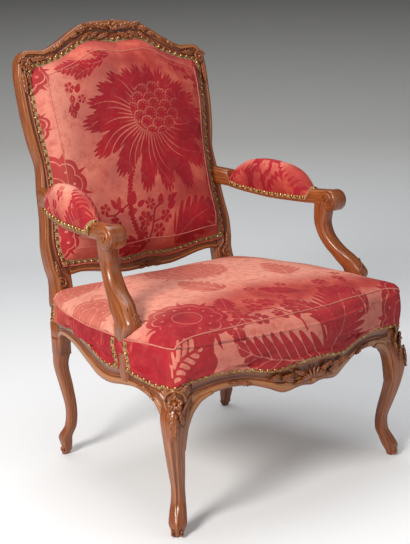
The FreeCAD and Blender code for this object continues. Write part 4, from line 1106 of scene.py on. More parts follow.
def seat_figure(u, v):
    """The seat's figure: a round of lace at each front corner, two great feathered leaves that rise from the front
    rail, a medallion and sprigs between them, the same again further back."""
    value = crowd(u, v, {
        leaf: [((48, -424), 157, 262, 140, 34, 9, 0.4, 3.0), ((58, -428), 62, 215, 156, 8, 9, 0.4, 2.0, True),
               ((96, -424), 26, 130, 74, -10, 6, 0.45, 2.0, True), ((-60, -120), 100, 130, 90, 10, 6, 0.45, 2.0),
               ((140, -110), 70, 150, 90, -10, 6, 0.45, 2.0), ((40, -350), 120, 110, 60, 0, 6, 0.45, 2.0),
               ((180, -330), 100, 100, 60, 0, 6, 0.45, 2.0), ((-150, -240), 60, 80, 50, 0, 6, 0.45, 2.0),
               ((60, -230), 140, 90, 50, 0, 6, 0.45, 2.0), ((200, -230), 60, 40, 18, 0, 3, 0.4, 1)],
        leaflet: [((-35, -330), 60, 34, 17), ((-52, -322), 130, 30, 15), ((-20, -318), 10, 30, 14)],
        blossom: [((-148, -284), 22, 6), ((-112, -300), 20, 5), ((-52, -248), 22, 6, 20), ((-24, -288), 19, 5),
                  ((-92, -258), 18, 5, 10), ((-142, -250), 17, 6), ((0, -240), 14, 5, 20), ((-80, -225), 15, 6),
                  ((-180, -300), 22, 6), ((120, -250), 20, 6), ((150, -200), 18, 6), ((-66, -300), 13, 5),
                  ((10, -190), 16, 6), ((60, -170), 15, 5), ((-20, -160), 14, 6), ((210, -200), 16, 6),
                  ((240, -160), 14, 5)],
        lace: [((-240, -222), 84, 10, 8), ((322, -338), 84, 8, 0), ((-330, 10), 70, 8, 0), ((330, 10), 70, 8, 0),
               ((0, 90), 100, 12, 0), ((-250, 170), 60, 9, 0), ((250, 170), 60, 9, 0)],
        ribbon: [([(-20, -350), (-34, -322), (-60, -280), (-100, -268), (-148, -280)], 4.0),
                 ([(-34, -322), (-20, -280), (-40, -250), (-84, -228)], 4.0)]})
    flames = [((side * x, y), 90 + side * turn, length, 60, -side * bend, 5, 0.5, 2.2) for side in (-1, 1)
              for x, y, turn, length, bend in ((372, -170, 60, 90, 0), (380, -60, 70, 80, 4), (395, 60, 80, 90, 4),
                                               (385, 150, 90, 90, 4))]
    flames.append(((-385, -330), 15, 130, 62, 0, 6, 0.55, 3.4))
    edge = np.abs(u) - 347 + 5 * np.abs(np.sin(v / 17.0)) - 60 * np.clip((-262 - v) / 30, 0, 3) * (u > 0)
    edge = np.maximum(edge, 92 + 5 * np.abs(np.sin(np.arctan2(v + 318, u + 335) * 7)) - np.hypot(u + 335, v + 318))
    return np.maximum(value, np.minimum(edge, 1.5 - crowd(u, v, {leaf: flames})))


def arm_figure(u, v):
    """The arm pads' figure, unrolled over the top: a leaf from the front, with sprigs behind it."""
    return crowd(u, v, {
        leaf: [((0, -18), 90, 92, 84, 0, 6, 0.5, 2.0), ((10, 150), 80, 60, 44, 6, 4, 0.45, 1.8),
               ((-30, 160), 100, 50, 34, -4, 4, 0.45, 1.8), ((46, 20), 80, 80, 40, 0, 5, 0.5, 1.8),
               ((-46, 20), 100, 80, 40, 0, 5, 0.5, 1.8), ((44, 160), 80, 60, 34, 0, 4, 0.5, 1.8),
               ((-48, 220), 80, 60, 34, 0, 4, 0.5, 1.8)],
        blossom: [((-22, 98), 15, 6), ((20, 112), 14, 5), ((-8, 138), 13, 6), ((46, 130), 14, 5),
                  ((-46, 130), 14, 5)]})


# Pads
def lumps(u, v):
    """Stuffing is never quite even: a sum of three slow waves, under 1 mm high."""
    return (0.5 * np.sin(u / 31 + 1.0) * np.sin(v / 37) + 0.35 * np.sin((u + v) / 23 + 2.0)
            + 0.25 * np.sin((u - 2 * v) / 41))


def wear(x, low, high):
    """0 below one place, 1 above another, with an eased rise between."""
    t = np.clip((x - low) / (high - low), 0, 1)
    return t * t * (3 - 2 * t)


def velvet_mesh(name, verts, quads, tris, figure, wear_and_painted_light, *nodes, fill=0.85):
    """A closed piece of the cover: its figure is worked out at its own points."""
    obj = mesh(name, verts, quads, tris, velvet, {"pile": figure, "wear_and_painted_light": wear_and_painted_light})
    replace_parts(obj, *nodes)


def skirt(verts, ring, steps, centre):
    """Closes a cover below: further rings stepped from its edge ring, then a point in the middle."""
    m = len(ring)
    j = np.arange(m)
    k = (j + 1) % m
    quads, rings, last = [], [], ring
    for n, step in enumerate(steps):
        rings.append(step)
        following = len(verts) + n * m + j
        quads.append(joined(last[k], last[j], following[j], following[k]))
        last = following
    middle = len(verts) + len(steps) * m
    tris = joined(last[k], last[j], middle)
    return np.concatenate([verts, *rings, np.array([centre], float)]), np.concatenate(quads), tris


def places(count):
    """Even shares from 0 to 1."""
    return np.linspace(0, 1, count)


# Back pad
cx, cy = 40, 42
coarse_flat, coarse_edge, coarse = back_surface(cx, cy)
move = inflated("back_fill", coarse.reshape(-1, 3), grid_quads(cy, cx), coarse_edge.ravel() < 9,
                most=9.0).reshape(cy, cx, 3)
ny, nx = back_front.shape[:2]
back_shape = back_front + sampled(move, places(ny)[:, None], places(nx)[None])
back_u = back_flat[..., 0]
back_v = (back_flat[..., 2] - back_base_z) / math.cos(rake)
back_shape = back_shape + (lumps(back_u, back_v) * np.clip(back_edge / 30 - 0.3, 0, 1))[..., None] * BACK_FRONT
ring = border_of(ny, nx)
flat_ring = back_shape.reshape(-1, 3)[ring]
verts, quads, tris = skirt(back_shape.reshape(-1, 3), ring, [flat_ring - 3.0 * BACK_FRONT],
                           flat_ring.mean(0) - 3.0 * BACK_FRONT)
figure = np.concatenate([back_figure(back_u, back_v).ravel(), np.full(len(verts) - nx * ny, -3.0)])
# How pale the back's velvet is: more near the left edge above the foot, from wear and a painted highlight; less
# towards the top; less towards the right, as painted shade.
wear_and_painted_light = (0.34 + 0.36 * np.exp(-((back_u + 205) / 45) ** 2) * wear(back_v, 20, 120) - 0.2 * wear(back_v, 400, 480)
          - 0.3 * wear(back_u, -90, 160))
velvet_mesh("back_pad", verts, np.concatenate([grid_quads(ny, nx), quads]), tris, figure, wear_and_painted_light, "back_cover",
            "back_stuffing", fill=0.9)

# Seat pad: the top and the wall below its seam, in one piece
cx, cy, rows_count = 42, 34, 9
coarse_base, coarse_out, coarse_top, coarse_wall = seat_surfaces(cx, cy, rows_count)
m = len(coarse_base)
under = numbered(m, rows_count) + cx * cy
under[:, -1] = border_of(cy, cx)
wall_quads = cells(under, True)
both = np.concatenate([coarse_top.reshape(-1, 3), coarse_wall.reshape(-1, 3)])
used = np.zeros(len(both), bool)
used[:cx * cy] = True
used[under.ravel()] = True
renumber = np.cumsum(used) - 1
held = np.zeros(len(both), bool)
held[under[:, :2].ravel()] = True
quads = renumber[np.concatenate([grid_quads(cy, cx), wall_quads])]
filled = np.zeros((len(both), 3))
filled[used] = inflated("seat_fill", both[used], quads, held[used], most=9.0)
move_top = filled[:cx * cy].reshape(cy, cx, 3)
move_wall = filled[under]
ny, nx = seat_top.shape[:2]
seat_shape = seat_top + sampled(move_top, places(ny)[:, None], places(nx)[None])
seat_shape[..., 2] += lumps(seat_top[..., 0], seat_top[..., 1]) * 1.2
border = border_of(ny, nx)
where = np.concatenate([places(nx)[:-1] * (cx - 1), cx - 1 + places(ny)[:-1] * (cy - 1),
                        cx + cy - 2 + places(nx)[:-1] * (cx - 1), 2 * cx + cy - 3 + places(ny)[:-1] * (cy - 1)]) / m
wall_shape = seat_wall + sampled(np.concatenate([move_wall, move_wall[:1]]), where[:, None],
                                 places(seat_wall.shape[1])[None])
wall_shape[:, -1] = seat_shape.reshape(-1, 3)[border]
puff = np.sin(np.pi * places(wall_shape.shape[1]))[None] * (2.5 + 3.5 * wear(-wall_shape[:, :1, 1], 250, 290))
wall_shape[..., :2] += seat_out[:, None] * puff[..., None]
below = wall_shape[:, :-1]
index = np.concatenate([numbered(*below.shape[:2]) + nx * ny, border[:, None]], 1)
wall_quads = cells(index, True)
verts = np.concatenate([seat_shape.reshape(-1, 3), below.reshape(-1, 3)])
foot = seat_wall[:, 0]
level = np.concatenate([seat_base - seat_out * 2.0, foot[:, 2:3]], -1)
raised = np.concatenate([seat_base - seat_out * 3.0, np.full((len(foot), 1), 378.0)], -1)
verts, quads, tris = skirt(verts, index[:, 0], [level, raised], (0, -10, 384))
unrolled = seat_base[:, None] + seat_out[:, None] * (seam_swell + seam_z - seat_wall[:, :-1, 2:3])
place = np.concatenate([seat_top[..., :2].reshape(-1, 2), unrolled.reshape(-1, 2)])
figure = seat_figure(place[:, 0], place[:, 1])
# How pale the seat's velvet is: more towards the rear of the top, in a patch by the left front corner and along the
# front rim, from wear together with painted sheen.
paleness = 0.95 * wear(place[:, 1] + 0.25 * np.abs(place[:, 0]), -190, -60)
paleness = np.maximum(paleness, 0.45 * np.exp(-((place[:, 0] + 235) / 80) ** 2 - ((place[:, 1] + 215) / 70) ** 2))
on_wall = np.arange(len(place)) >= nx * ny
rim = 0.5 * wear(-place[:, 1], 262, 292)
paleness = np.where(on_wall, rim, np.maximum(paleness, rim))
figure = np.concatenate([figure, np.full(len(verts) - len(figure), -3.0)])
paleness = np.concatenate([paleness, np.zeros(len(verts) - len(paleness))])
velvet_mesh("seat_pad", verts, np.concatenate([grid_quads(ny, nx), wall_quads, quads]), tris, figure, paleness,
            "seat_cover", "seat_stuffing")


def piping(name, path, radius=1.5, closed=True):
    """A covered cord sewn into a seam."""
    grid = tube(path, radius, 8, closed)
    tone = {"pile": np.full(grid.shape[:2], -1.0), "wear_and_painted_light": np.full(grid.shape[:2], 0.55)}
    obj = build(name, grid, velvet, wrap_u=closed, wrap_v=True, cap_u=not closed, fields=tone)


# The seat's seam runs round its edge and rises on to the crown at the middle of the front
rows_at = 9 * np.clip(np.cos(np.pi * np.linspace(-1, 1, nx) / 2), 0, 1) ** 0.6
front_seam = np.array([[np.interp(r, np.arange(ny), seat_shape[:, i, k]) for k in range(3)]
                       for i, r in enumerate(rows_at)])
whole = seat_shape.reshape(-1, 3)[border]
seam_path = np.concatenate([front_seam[:-1], whole[nx - 1:]])
piping("seat_piping", seam_path[::2] + [0, 0, 0.6], 1.5)
# The back pad's seam lies on its shoulder, an even way in from the edge
seam_path = inset_ring(back_shape + BACK_FRONT * 0.3, 21, 20)
piping("back_piping", seam_path[::2], 1.1)


# Arm pads
def arm_surface(rows_count, columns_count):
    """An arm pad: across, a half round drawn up from the arm's edges; along, two lines give its width and height."""
    y = np.linspace(-16, 224, rows_count)[:, None]
    a = np.linspace(0, np.pi, columns_count)[None]
    half = smooth(pad_half_line, y)
    foot_z = smooth(arm_under_line, y) + 9
    c, s = np.cos(a), np.sin(a)
    spread = np.clip(s * 2.6, 0, 1)
    reach = np.minimum(half, 17.0) * (1 - spread) + half * spread
    x = smooth(arm_middle_line, y) + np.sign(c) * np.abs(c) ** 0.7 * reach
    z = foot_z + (smooth(pad_top_line, y) - foot_z) * s ** 0.85
    return joined(x, y, z)


ny, nx = 130, 70
arm_fine = arm_surface(ny, nx)
cy, cx = 30, 16
coarse = arm_surface(cy, cx)
held = np.zeros((cy, cx), bool)
held[[0, -1]] = True
held[:, [0, -1]] = True
move = inflated("arm_fill", coarse.reshape(-1, 3), grid_quads(cy, cx), held.ravel(), most=3.0).reshape(cy, cx, 3)
arm_shape = arm_fine + sampled(move, places(ny)[:, None], places(nx)[None])
arm_u = (np.linspace(-1, 1, nx) * 55)[None] + 0 * arm_fine[..., 1]
ring = border_of(ny, nx)
for side, name in ((1, "right"), (-1, "left")):
    shape = arm_shape * [side, 1, 1]
    edge = shape.reshape(-1, 3)[ring]
    inner = edge - [0, 0, 1.0]
    verts, quads, tris = skirt(shape.reshape(-1, 3), ring, [inner], inner.mean(0))
    motif = arm_figure(arm_u * side, arm_fine[..., 1])
    motif = np.where(arm_fine[..., 1] < 60, np.abs(motif) - 2.0,
                     motif) if side < 0 else 3.0 - np.abs(motif + 6.0) * 0.6
    figure = np.concatenate([motif.ravel(), np.full(len(verts) - nx * ny, -3.0)])
    # Paler along the crown of each pad, the left pad more than the right.
    wear_and_painted_light = (0.9 if side < 0 else 0.5) * np.exp(-((arm_u + 6) / 30) ** 2) * wear(arm_fine[..., 1], 20, 90)
    velvet_mesh("arm_pad_" + name, verts, np.concatenate([grid_quads(ny, nx), quads]), tris, figure, wear_and_painted_light,
                "arm_pad_cover_" + name, "arm_pad_stuffing_" + name, fill=0.85)


# Gimp and nails
def trim(name, path, normal, closed=False):
    """Gimp braid carried along a line on a surface, with domed nails along its middle, each a little out of true."""
    path = np.asarray(path, float)
    normal = unit(np.broadcast_to(np.asarray(normal, float), path.shape))
    if closed:
        path, normal = np.concatenate([path, path[:1]]), np.concatenate([normal, normal[:1]])
    s = lengths(path)

    def at_places(at):
        """Points and outward directions at distances along the line."""
        return read_at(at, s, path), unit(read_at(at, s, normal))

    count = max(int(s[-1] / 3), 4)
    at = np.linspace(0, s[-1], count, endpoint=not closed)
    line, out = at_places(at)
    forward = unit(np.roll(line, -1, 0) - np.roll(line, 1, 0)) if closed else unit(np.gradient(line, axis=0))
    side = unit(np.cross(forward, out))
    w = np.array([-6, -5.6, -3, 0, 3, 5.6, 6, 5, 0, -5]) * gimp_width / 12
    q = np.array([0, 1.1, 1.6, 1.3, 1.6, 1.1, 0, -0.4, -0.4, -0.4])
    grid = line[:, None] + side[:, None] * w[None, :, None] + out[:, None] * q[None, :, None]
    uv = joined(at[:, None], w)
    build(name + "_gimp", grid, gimp, wrap_u=closed, wrap_v=True, cap_u=not closed, uv=uv)
    n = max(int(round(s[-1] / nail_pitch)), 1)
    at = (np.arange(n) + 0.5 + 0.05 * rng.standard_normal(n)) / n * s[-1]
    line, out = at_places(at)
    out = unit(out + 0.06 * rng.standard_normal(out.shape))
    side, up = square_to(out, [0.3, 0.2, 1.0])
    a = np.linspace(0, 2 * np.pi, 10, endpoint=False)
    circle = side[:, None] * np.cos(a)[None, :, None] + up[:, None] * np.sin(a)[None, :, None]
    size = nail_radius * (1 + 0.04 * rng.standard_normal(n)[:, None, None])
    rings = [line[:, None] + size * r * circle + out[:, None] * (h + 1.1)
             for r, h in ((1, 0.3), (0.94, 1.9), (0.62, 3.5))]
    caps = [(line + out * nail_rise)[:, None], (line + out)[:, None]]
    heads = np.concatenate(rings + caps, 1)
    j = np.arange(10)
    k = (j + 1) % 10
    sides = np.concatenate([joined(i * 10 + j, i * 10 + k, (i + 1) * 10 + k, (i + 1) * 10 + j) for i in (0, 1)])
    tops = np.concatenate([joined(20 + j, 20 + k, 30), joined(k, j, 31)])
    base = (np.arange(n) * heads.shape[1])[:, None, None]
    mesh(name + "_nails", heads.reshape(-1, 3), (sides[None] + base).reshape(-1, 4),
         (tops[None] + base).reshape(-1, 3), brass)


# Round the seat, broken where the supports and the back's posts stand
level = np.concatenate([seat_out, np.zeros((len(seat_out), 1))], -1)
nail_row = wall_shape[:, 0] + [0, 0, 5.0] + level * 0.6
at_support = (np.abs(nail_row[:, 1] - support_y) < support_gap) & (np.abs(nail_row[:, 0]) > 280)
start = np.flatnonzero(at_support & (nail_row[:, 0] > 0))[-1] + 1
order = np.roll(np.arange(len(nail_row)), -start)
runs = np.split(order, np.flatnonzero(np.diff(at_support[order].astype(int))) + 1)
for number, run in enumerate(r for r in runs if not at_support[r[0]] and len(r) > 5):
    trim(f"seat_{number}", nail_row[run], level[run])
for side, name in ((1, "right"), (-1, "left")):
    for y, label in ((support_y - support_gap, "fore"), (support_y + support_gap, "aft"), (214, "post")):
        k = np.argmin(np.hypot(wall_shape[:, -1, 0] - side * 340, (wall_shape[:, 0, 1] - y) * 3))
        trim(f"support_{name}_{label}", wall_shape[k, 2:-2] + level[k] * 0.6, level[k])
    ay = np.linspace(-14, 222, 80)
    middle, rim_z = smooth(arm_middle_line, ay), smooth(arm_under_line, ay) + arm_rim_lift
    outer, inner = (joined(side * (middle + rim), ay, rim_z) for rim in (arm_rim, -arm_rim))
    nose = joined(side * (315 + arm_rim * np.cos(np.linspace(0, np.pi, 12))),
                  -15 - 4 * np.sin(np.linspace(0, np.pi, 12)), 584 + 20 * np.sin(np.linspace(0, np.pi, 12)))
    trim(f"arm_{name}_outer", outer, [side, 0, 0.2])
    trim(f"arm_{name}_inner", inner, [-side, 0, 0.2])
    trim(f"arm_{name}_front", nose, [0, -1, 0.6])
trim("back", inset_ring(back_shape, 4, 4) + BACK_FRONT * 0.6, BACK_FRONT, closed=True)


# Webbing, hessian and the outside back
def strap(place, start, end, crossings, over, width):
    """A strap's section, a flat band with its edges rounded off, carried along a course that rises over each strap it
    crosses and dips under the next."""
    flat = webbing_width / 2 + 2
    turn = over * (-1.0) ** np.arange(len(crossings))
    at = np.concatenate([[start], joined(crossings - flat, crossings + flat).ravel(), [end]])
    rise = np.concatenate([[0], np.repeat(turn, 2), [0]]) * webbing_lift
    s = np.linspace(start, end, 90)
    w = np.array([-25, -24.3, 24.3, 25, 25, 24.3, -24.3, -25.0])
    h = np.array([-0.35, -0.7, -0.7, -0.35, 0.35, 0.7, 0.7, 0.35])
    middle = place(s, np.interp(s, at, rise) + 0.7)
    lift = place(s, np.interp(s, at, rise) + 1.7) - middle
    grid = middle[:, None] + np.asarray(width, float) * w[None, :, None] + lift[:, None] * h[None, :, None]
    return grid, joined((s - start)[:, None], w[None] + 200)


def webbing(node, straps):
    """All the straps of one direction as one piece, their ends closed."""
    n, m = straps[0][0].shape[:2]
    quads = cells(numbered(n, m), False, True)
    end = np.array([(0, 7, 6, 1), (1, 6, 5, 2), (2, 5, 4, 3)])
    quads = np.concatenate([quads, end[:, ::-1], end + (n - 1) * m])
    quads = (quads[None] + (np.arange(len(straps)) * n * m)[:, None, None]).reshape(-1, 4)
    verts = np.concatenate([grid.reshape(-1, 3) for grid, flat in straps])
    uv = np.concatenate([flat.reshape(-1, 2) for grid, flat in straps])
    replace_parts(mesh(node + "_straps", verts, quads, NO_FACES, sangle, uv=uv), node)


def stretched(name, grid, out, thickness, material, node, fields=None, uv=None):
    """A sheet of cloth: a grid of points and the same grid a thickness behind it, joined round the edge."""
    nv, nu = grid.shape[:2]
    ring = border_of(nv, nu)
    k = np.roll(ring, -1)
    faces = grid_quads(nv, nu)
    quads = np.concatenate([faces, faces[:, ::-1] + nu * nv, joined(ring, k, k + nu * nv, ring + nu * nv)])
    points = grid.reshape(-1, 3)
    verts = np.concatenate([points, points - np.asarray(out, float) * thickness])
    obj = mesh(name, verts, quads, NO_FACES, material, fields, uv)
    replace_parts(obj, node)


def narrowest(line, at):
    """The least that a line gives at a strap's two edges."""
    return float(min(line(at - webbing_width / 2), line(at + webbing_width / 2)))


cross_x = (np.arange(6) - 2.5) * seat_strap_gaps[0]
cross_y = -25.0 + (np.arange(5) - 2) * seat_strap_gaps[1]
webbing("seat_webbing_lengthwise", [
    strap(lambda s, rise, x=x: joined(x, s, rail_top + rise), float(front_face_y(x)) + 10, 231.0, cross_y,
          1 - 2 * (i % 2), [1, 0, 0]) for i, x in enumerate(cross_x)])
webbing("seat_webbing_crosswise", [
    strap(lambda s, rise, y=y: joined(s, y, rail_top + rise), 10 - narrowest(side_face_x, y),
          narrowest(side_face_x, y) - 10, cross_x, 2 * (j % 2) - 1, [0, 1, 0]) for j, y in enumerate(cross_y)])
cross_x = (np.arange(3) - 1) * back_strap_gap
cross_z = 710.0 + (np.arange(4) - 1.5) * back_strap_gap
webbing("back_webbing_upright", [
    strap(lambda s, rise, x=x: on_back(x, s, rise - rebate), float(lower_show_z(x)) + 10,
          narrowest(crest_show_z, x) - 10, cross_z, 1 - 2 * (i % 2), [1, 0, 0])
    for i, x in enumerate(cross_x)])
webbing("back_webbing_crosswise", [
    strap(lambda s, rise, z=z: on_back(s, z, rise - rebate), 10 - narrowest(stile_show_x, z),
          narrowest(stile_show_x, z) - 10, cross_x, 2 * (j % 2) - 1, BACK_UP)
    for j, z in enumerate(cross_z)])

middle = back_flat.reshape(-1, 3).mean(0)
grid = middle + (coarse_flat - middle) * 0.985 + BACK_FRONT * -0.7
stretched("back_hessian_sheet", grid, BACK_FRONT, 0.9, hemp, "back_hessian", uv=grid[..., [0, 2]])
loop = np.concatenate([coarse_base - coarse_out * 7, np.full((len(coarse_base), 1), 375.3)], -1)
cx, cy = 42, 34
grid = patch(loop[:cx], loop[cx + cy - 2:2 * cx + cy - 2][::-1],
             np.concatenate([loop[2 * cx + cy - 3:], loop[:1]])[::-1], loop[cx - 1:cx + cy - 1])
stretched("seat_hessian_sheet", grid, [0, 0, 1], 0.9, hemp, "seat_hessian", uv=grid[..., :2])
sheet, edge = back_surface(150, 160)[:2]
grid = middle + (sheet - middle) * 1.004 - BACK_FRONT * (back_thickness + 0.2
                                                         + 1.6 * np.clip(edge / 60, 0, 1) ** 0.5)[..., None]
up = (sheet[..., 2] - back_base_z) / math.cos(rake)
stretched("outside_back", grid, -BACK_FRONT, 1.4, velvet, "outside_back_panel",
          {"pile": np.tile(back_figure(-sheet[..., 0], up).ravel(), 2),
           "wear_and_painted_light": np.full(sheet[..., 0].size * 2, 0.12)})
trim("outside_back", inset_ring(grid, 2, 2) - BACK_FRONT * 0.4, -BACK_FRONT, closed=True)


# Carving: leaves, petals and bosses in low relief, each a grid in its own frame of along, across and out. All have
# one size: so many rows, and columns round, of which the first ones lie on top.
carved_rows, carved_columns, carved_top = 22, 16, 13


def carved_leaf(origin, forward, out, length, width, height, curl=0.0, lobes=0, sweep=0.0, cup=0.35):
    """A carved leaf. Along t from 0 to 1 and across b from -1 to 1: half width as a sine to a power, notched where
    lobes meet; height as an arch across with a sunk rib, lifted towards the tip by the curl; the middle line swept
    aside by the square of t."""
    out, forward = unit(np.asarray(out, float)), np.asarray(forward, float)
    forward = unit(forward - out * np.dot(forward, out))
    across = np.cross(out, forward)
    t = np.linspace(0, 1, carved_rows)[:, None]
    b = np.concatenate([np.linspace(-1, 1, carved_top),
                        np.linspace(1, -1, carved_columns - carved_top + 2)[1:-1]])[None]
    below = np.arange(carved_columns)[None] >= carved_top
    half = width / 2 * (0.18 + 0.82 * np.sin(np.pi * t ** 0.8) ** 0.8) * np.where(t > 0.99, 0.15, 1)
    if lobes:
        half = half * (1 - 0.3 * np.abs(np.cos(np.pi * lobes * t)) ** 3)
    arch = height * np.sqrt(np.clip(1 - 0.92 * b ** 2, 0, 1)) * (0.35 + 0.65 * np.sin(np.pi * np.clip(t, 0.06, 0.9)))
    rib = -cup * height * np.exp(-(b / 0.16) ** 2)
    veins = 0.22 * height * np.sin(np.pi * (lobes * t * 2 + np.abs(b) * 1.6)) * np.abs(b) if lobes else 0
    up = np.where(below, -2.0, arch + rib + veins) + curl * t ** 2
    place = (np.asarray(origin, float) + (forward * length) * t[..., None]
             + across * (half * b + sweep * t ** 2)[..., None] + out * up[..., None])
    # Sunk along the rib, the edges and the underside for painted shade; raised on the leaf's arch for a painted
    # highlight.
    hollow = np.where(below, 1.0, np.clip(0.25 + 0.9 * np.exp(-(b / 0.16) ** 2) + 0.8 * b ** 4
                                          - 0.6 * np.sqrt(np.clip(1 - b ** 2, 0, 1)), -1, 1))
    return place, hollow + 0 * t


def carved_boss(origin, out, radius, height):
    """A round boss: a half ellipsoid on the surface."""
    out = unit(np.asarray(out, float))
    side, up = square_to(out, [0.21, 0.13, 0.97])
    a = np.linspace(0, 2 * np.pi, carved_columns, endpoint=False)[None]
    t = np.linspace(0.02, np.pi / 2 + 0.5, carved_rows)[:, None]
    r, h = radius * np.sin(np.minimum(t, np.pi / 2)), height * np.cos(t) - np.where(t > np.pi / 2, 2.0, 0)
    place = (np.asarray(origin, float) + side * (r * np.cos(a))[..., None] + up * (r * np.sin(a))[..., None]
             + out * h[..., None])
    # Raised at the boss's top for a painted highlight, sunk towards its foot for painted shade.
    return place, np.clip(1.4 * (t / (np.pi / 2)) ** 3 - 0.5, -0.5, 1) + 0 * a


def carved_flower(origin, out, radius, height, petals=6, turn=0.0):
    """Petals round a boss, like a small wild rose."""
    out = unit(np.asarray(out, float))
    side, up = square_to(out, [0.21, 0.13, 0.97])
    parts = []
    for k in range(petals):
        a = 2 * np.pi * k / petals + turn
        way = side * math.cos(a) + up * math.sin(a)
        parts.append(carved_leaf(np.asarray(origin, float) + way * radius * 0.22, way, out, radius * 0.85,
                                 radius * 0.95, height * 0.6, height * 0.25, 0, 0, 0.7))
    parts.append(carved_boss(np.asarray(origin, float) + out * height * 0.2, out, radius * 0.28, height * 0.75))
    return parts


def volute(centre, along, up, out, radius, turns, thickness, start=0.0):
    """A carved scroll: a round cord whose distance from the centre shrinks evenly as it turns."""
    a = np.linspace(0, 2 * np.pi * turns, carved_rows)
    r = radius * (1 - 0.82 * a / a[-1])
    line = np.asarray(centre, float) + (np.asarray(along) * (r * np.cos(a + start))[:, None]
                                        + np.asarray(up) * (r * np.sin(a + start))[:, None])
    line = line + np.asarray(out, float) * (1.5 * a / a[-1])[:, None]
    grid = tube(line, thickness * (1 - 0.35 * a / a[-1]), carved_columns)
    # A little raised all along, for a faint painted highlight.
    return grid, np.full(grid.shape[:2], -0.2)


def carving(name, parts, both=False):
    """Joins carved grids of one size into one piece. Given both, the other side gets its mirror."""
    grids = np.array([p[0] for p in parts])
    hollow = np.array([p[1] for p in parts])
    sides = [("_right", 1), ("_left", -1)] if both else [("", 1)]
    for label, side in sides:
        n, nu, nv = grids.shape[:3]
        points = grids * [side, 1, 1]
        ends = points.mean(2)[:, [0, -1]]
        verts = np.concatenate([points.reshape(n, -1, 3), ends], 1)
        quads, tris = cells(numbered(nu, nv), False, True), fans(nu, nv)
        # Each grid faces outwards by itself, whichever way its frame turns
        all_quads, all_tris = [], []
        for number in range(n):
            p = verts[number] - verts[number].mean(0)
            q, t = (quads, tris) if volume(p, quads, tris) > 0 else (quads[:, ::-1], tris[:, ::-1])
            all_quads.append(q + number * verts.shape[1])
            all_tris.append(t + number * verts.shape[1])
        # The points that close each grid's ends are a little sunk, for painted shade.
        tone = np.concatenate([hollow.reshape(n, -1), np.full((n, 2), 0.4)], 1)
        flat = verts.reshape(-1, 3)
        mesh(name + label, flat, np.concatenate(all_quads), np.concatenate(all_tris), wood,
             {"hollow": tone}, flat[:, [2, 0]])


def back_way(dx, dz):
    """A direction in the plane of the back."""
    return np.array([dx, 0, 0]) + BACK_UP * dz


def leaf_on_back(x, z, lift, dx, dz, *shape):
    """A carved leaf that lies on the back, lifted off it a little, and grows in a direction of its plane."""
    return carved_leaf(on_back(x, z, lift), back_way(dx, dz), BACK_FRONT, *shape)


# Crest: a flower on the summit, sprays of leaves to each side, a bud where the curve falls
summit = float(crest_outer_z(0.0)) - 12
parts = carved_flower(on_back(0, summit + 2, 1.5), BACK_FRONT + 0.25 * BACK_UP, 15, 8, 6, 0.3)
for side in (-1, 1):
    for x, dz, degrees, length, width, sweep in ((12, -2, 8, 46, 17, 4), (10, -14, -14, 44, 14, -4),
                                                 (44, 1, 6, 40, 15, 5), (42, -12, -20, 36, 12, -5),
                                                 (74, 1, -14, 34, 14, 3), (72, -10, -34, 26, 11, -4),
                                                 (100, -1, -26, 26, 12, 3)):
        a = math.radians(degrees)
        z = float(crest_outer_z(x)) - 15 + dz
        parts.append(leaf_on_back(side * x, z, -0.6, side * math.cos(a), math.sin(a), length, width, 6.0, 0.8, 4,
                                  side * sweep))
    for x, rise in ((30, -16), (62, -15), (90, -16)):
        parts.append(carved_boss(on_back(side * x, float(crest_outer_z(x)) + rise - 2, -1.0), BACK_FRONT, 4.0, 4.5))
    bud = on_back(side * 160, float(crest_outer_z(160.0)) - 9, -0.5)
    parts += [carved_leaf(bud, back_way(side * 0.8, -0.45), BACK_FRONT, 26, 13, 5, 2, 3),
              carved_leaf(bud, back_way(-side * 0.8, 0.55), BACK_FRONT, 24, 12, 5, 2, 3),
              carved_boss(bud, BACK_FRONT, 6, 6)]
carving("crest_carving", parts)

# Ears: a flower in the curl of each upper corner, with a leaf down the stile and one along the crest
ear = on_back(251, 917, -0.5)
parts = carved_flower(ear, BACK_FRONT, 15, 8, 6)
parts += [leaf_on_back(260, 902, -0.5, 0.05, -1, 52, 17, 6, 2, 5, -2),
          leaf_on_back(250, 902, -1.2, -0.12, -1, 36, 11, 4, 1, 4, 1),
          leaf_on_back(236, 926, -0.5, -1, 0.12, 40, 15, 5, 2, 4, 1),
          volute(on_back(251, 917, 2.0), back_way(1, 0), back_way(0, 1), BACK_FRONT, 19, 0.8, 2.6, 0.2)]
carving("ear_carving", parts, True)

# Lower back rail: a small spray at the middle; posts: a scroll at the foot of each stile
parts = carved_flower(on_back(0, float(lower_edge_z(0.0)) + 7, 0), BACK_FRONT, 9, 6, 5)
for side in (-1, 1):
    parts += [leaf_on_back(side * 8, float(lower_edge_z(8.0)) + 8, -0.5, side, 0.15, 32, 11, 5, 2, 4, 0),
              leaf_on_back(side * 7, float(lower_edge_z(8.0)) + 4, -0.5, side, -0.2, 24, 8, 4, 2, 3, 0)]
carving("lower_rail_carving", parts)
parts = [volute(on_back(247, 423, -1), back_way(1, 0), back_way(0, 1), BACK_FRONT, 13, 1.3, 3.2, 1.2),
         volute(on_back(246, 398, -1), back_way(-1, 0), back_way(0, -1), BACK_FRONT, 10, 1.2, 2.8, 1.2),
         leaf_on_back(252, 436, -1, 0.1, 1, 40, 14, 5, 1, 4, 0)]
carving("post_carving", parts, True)

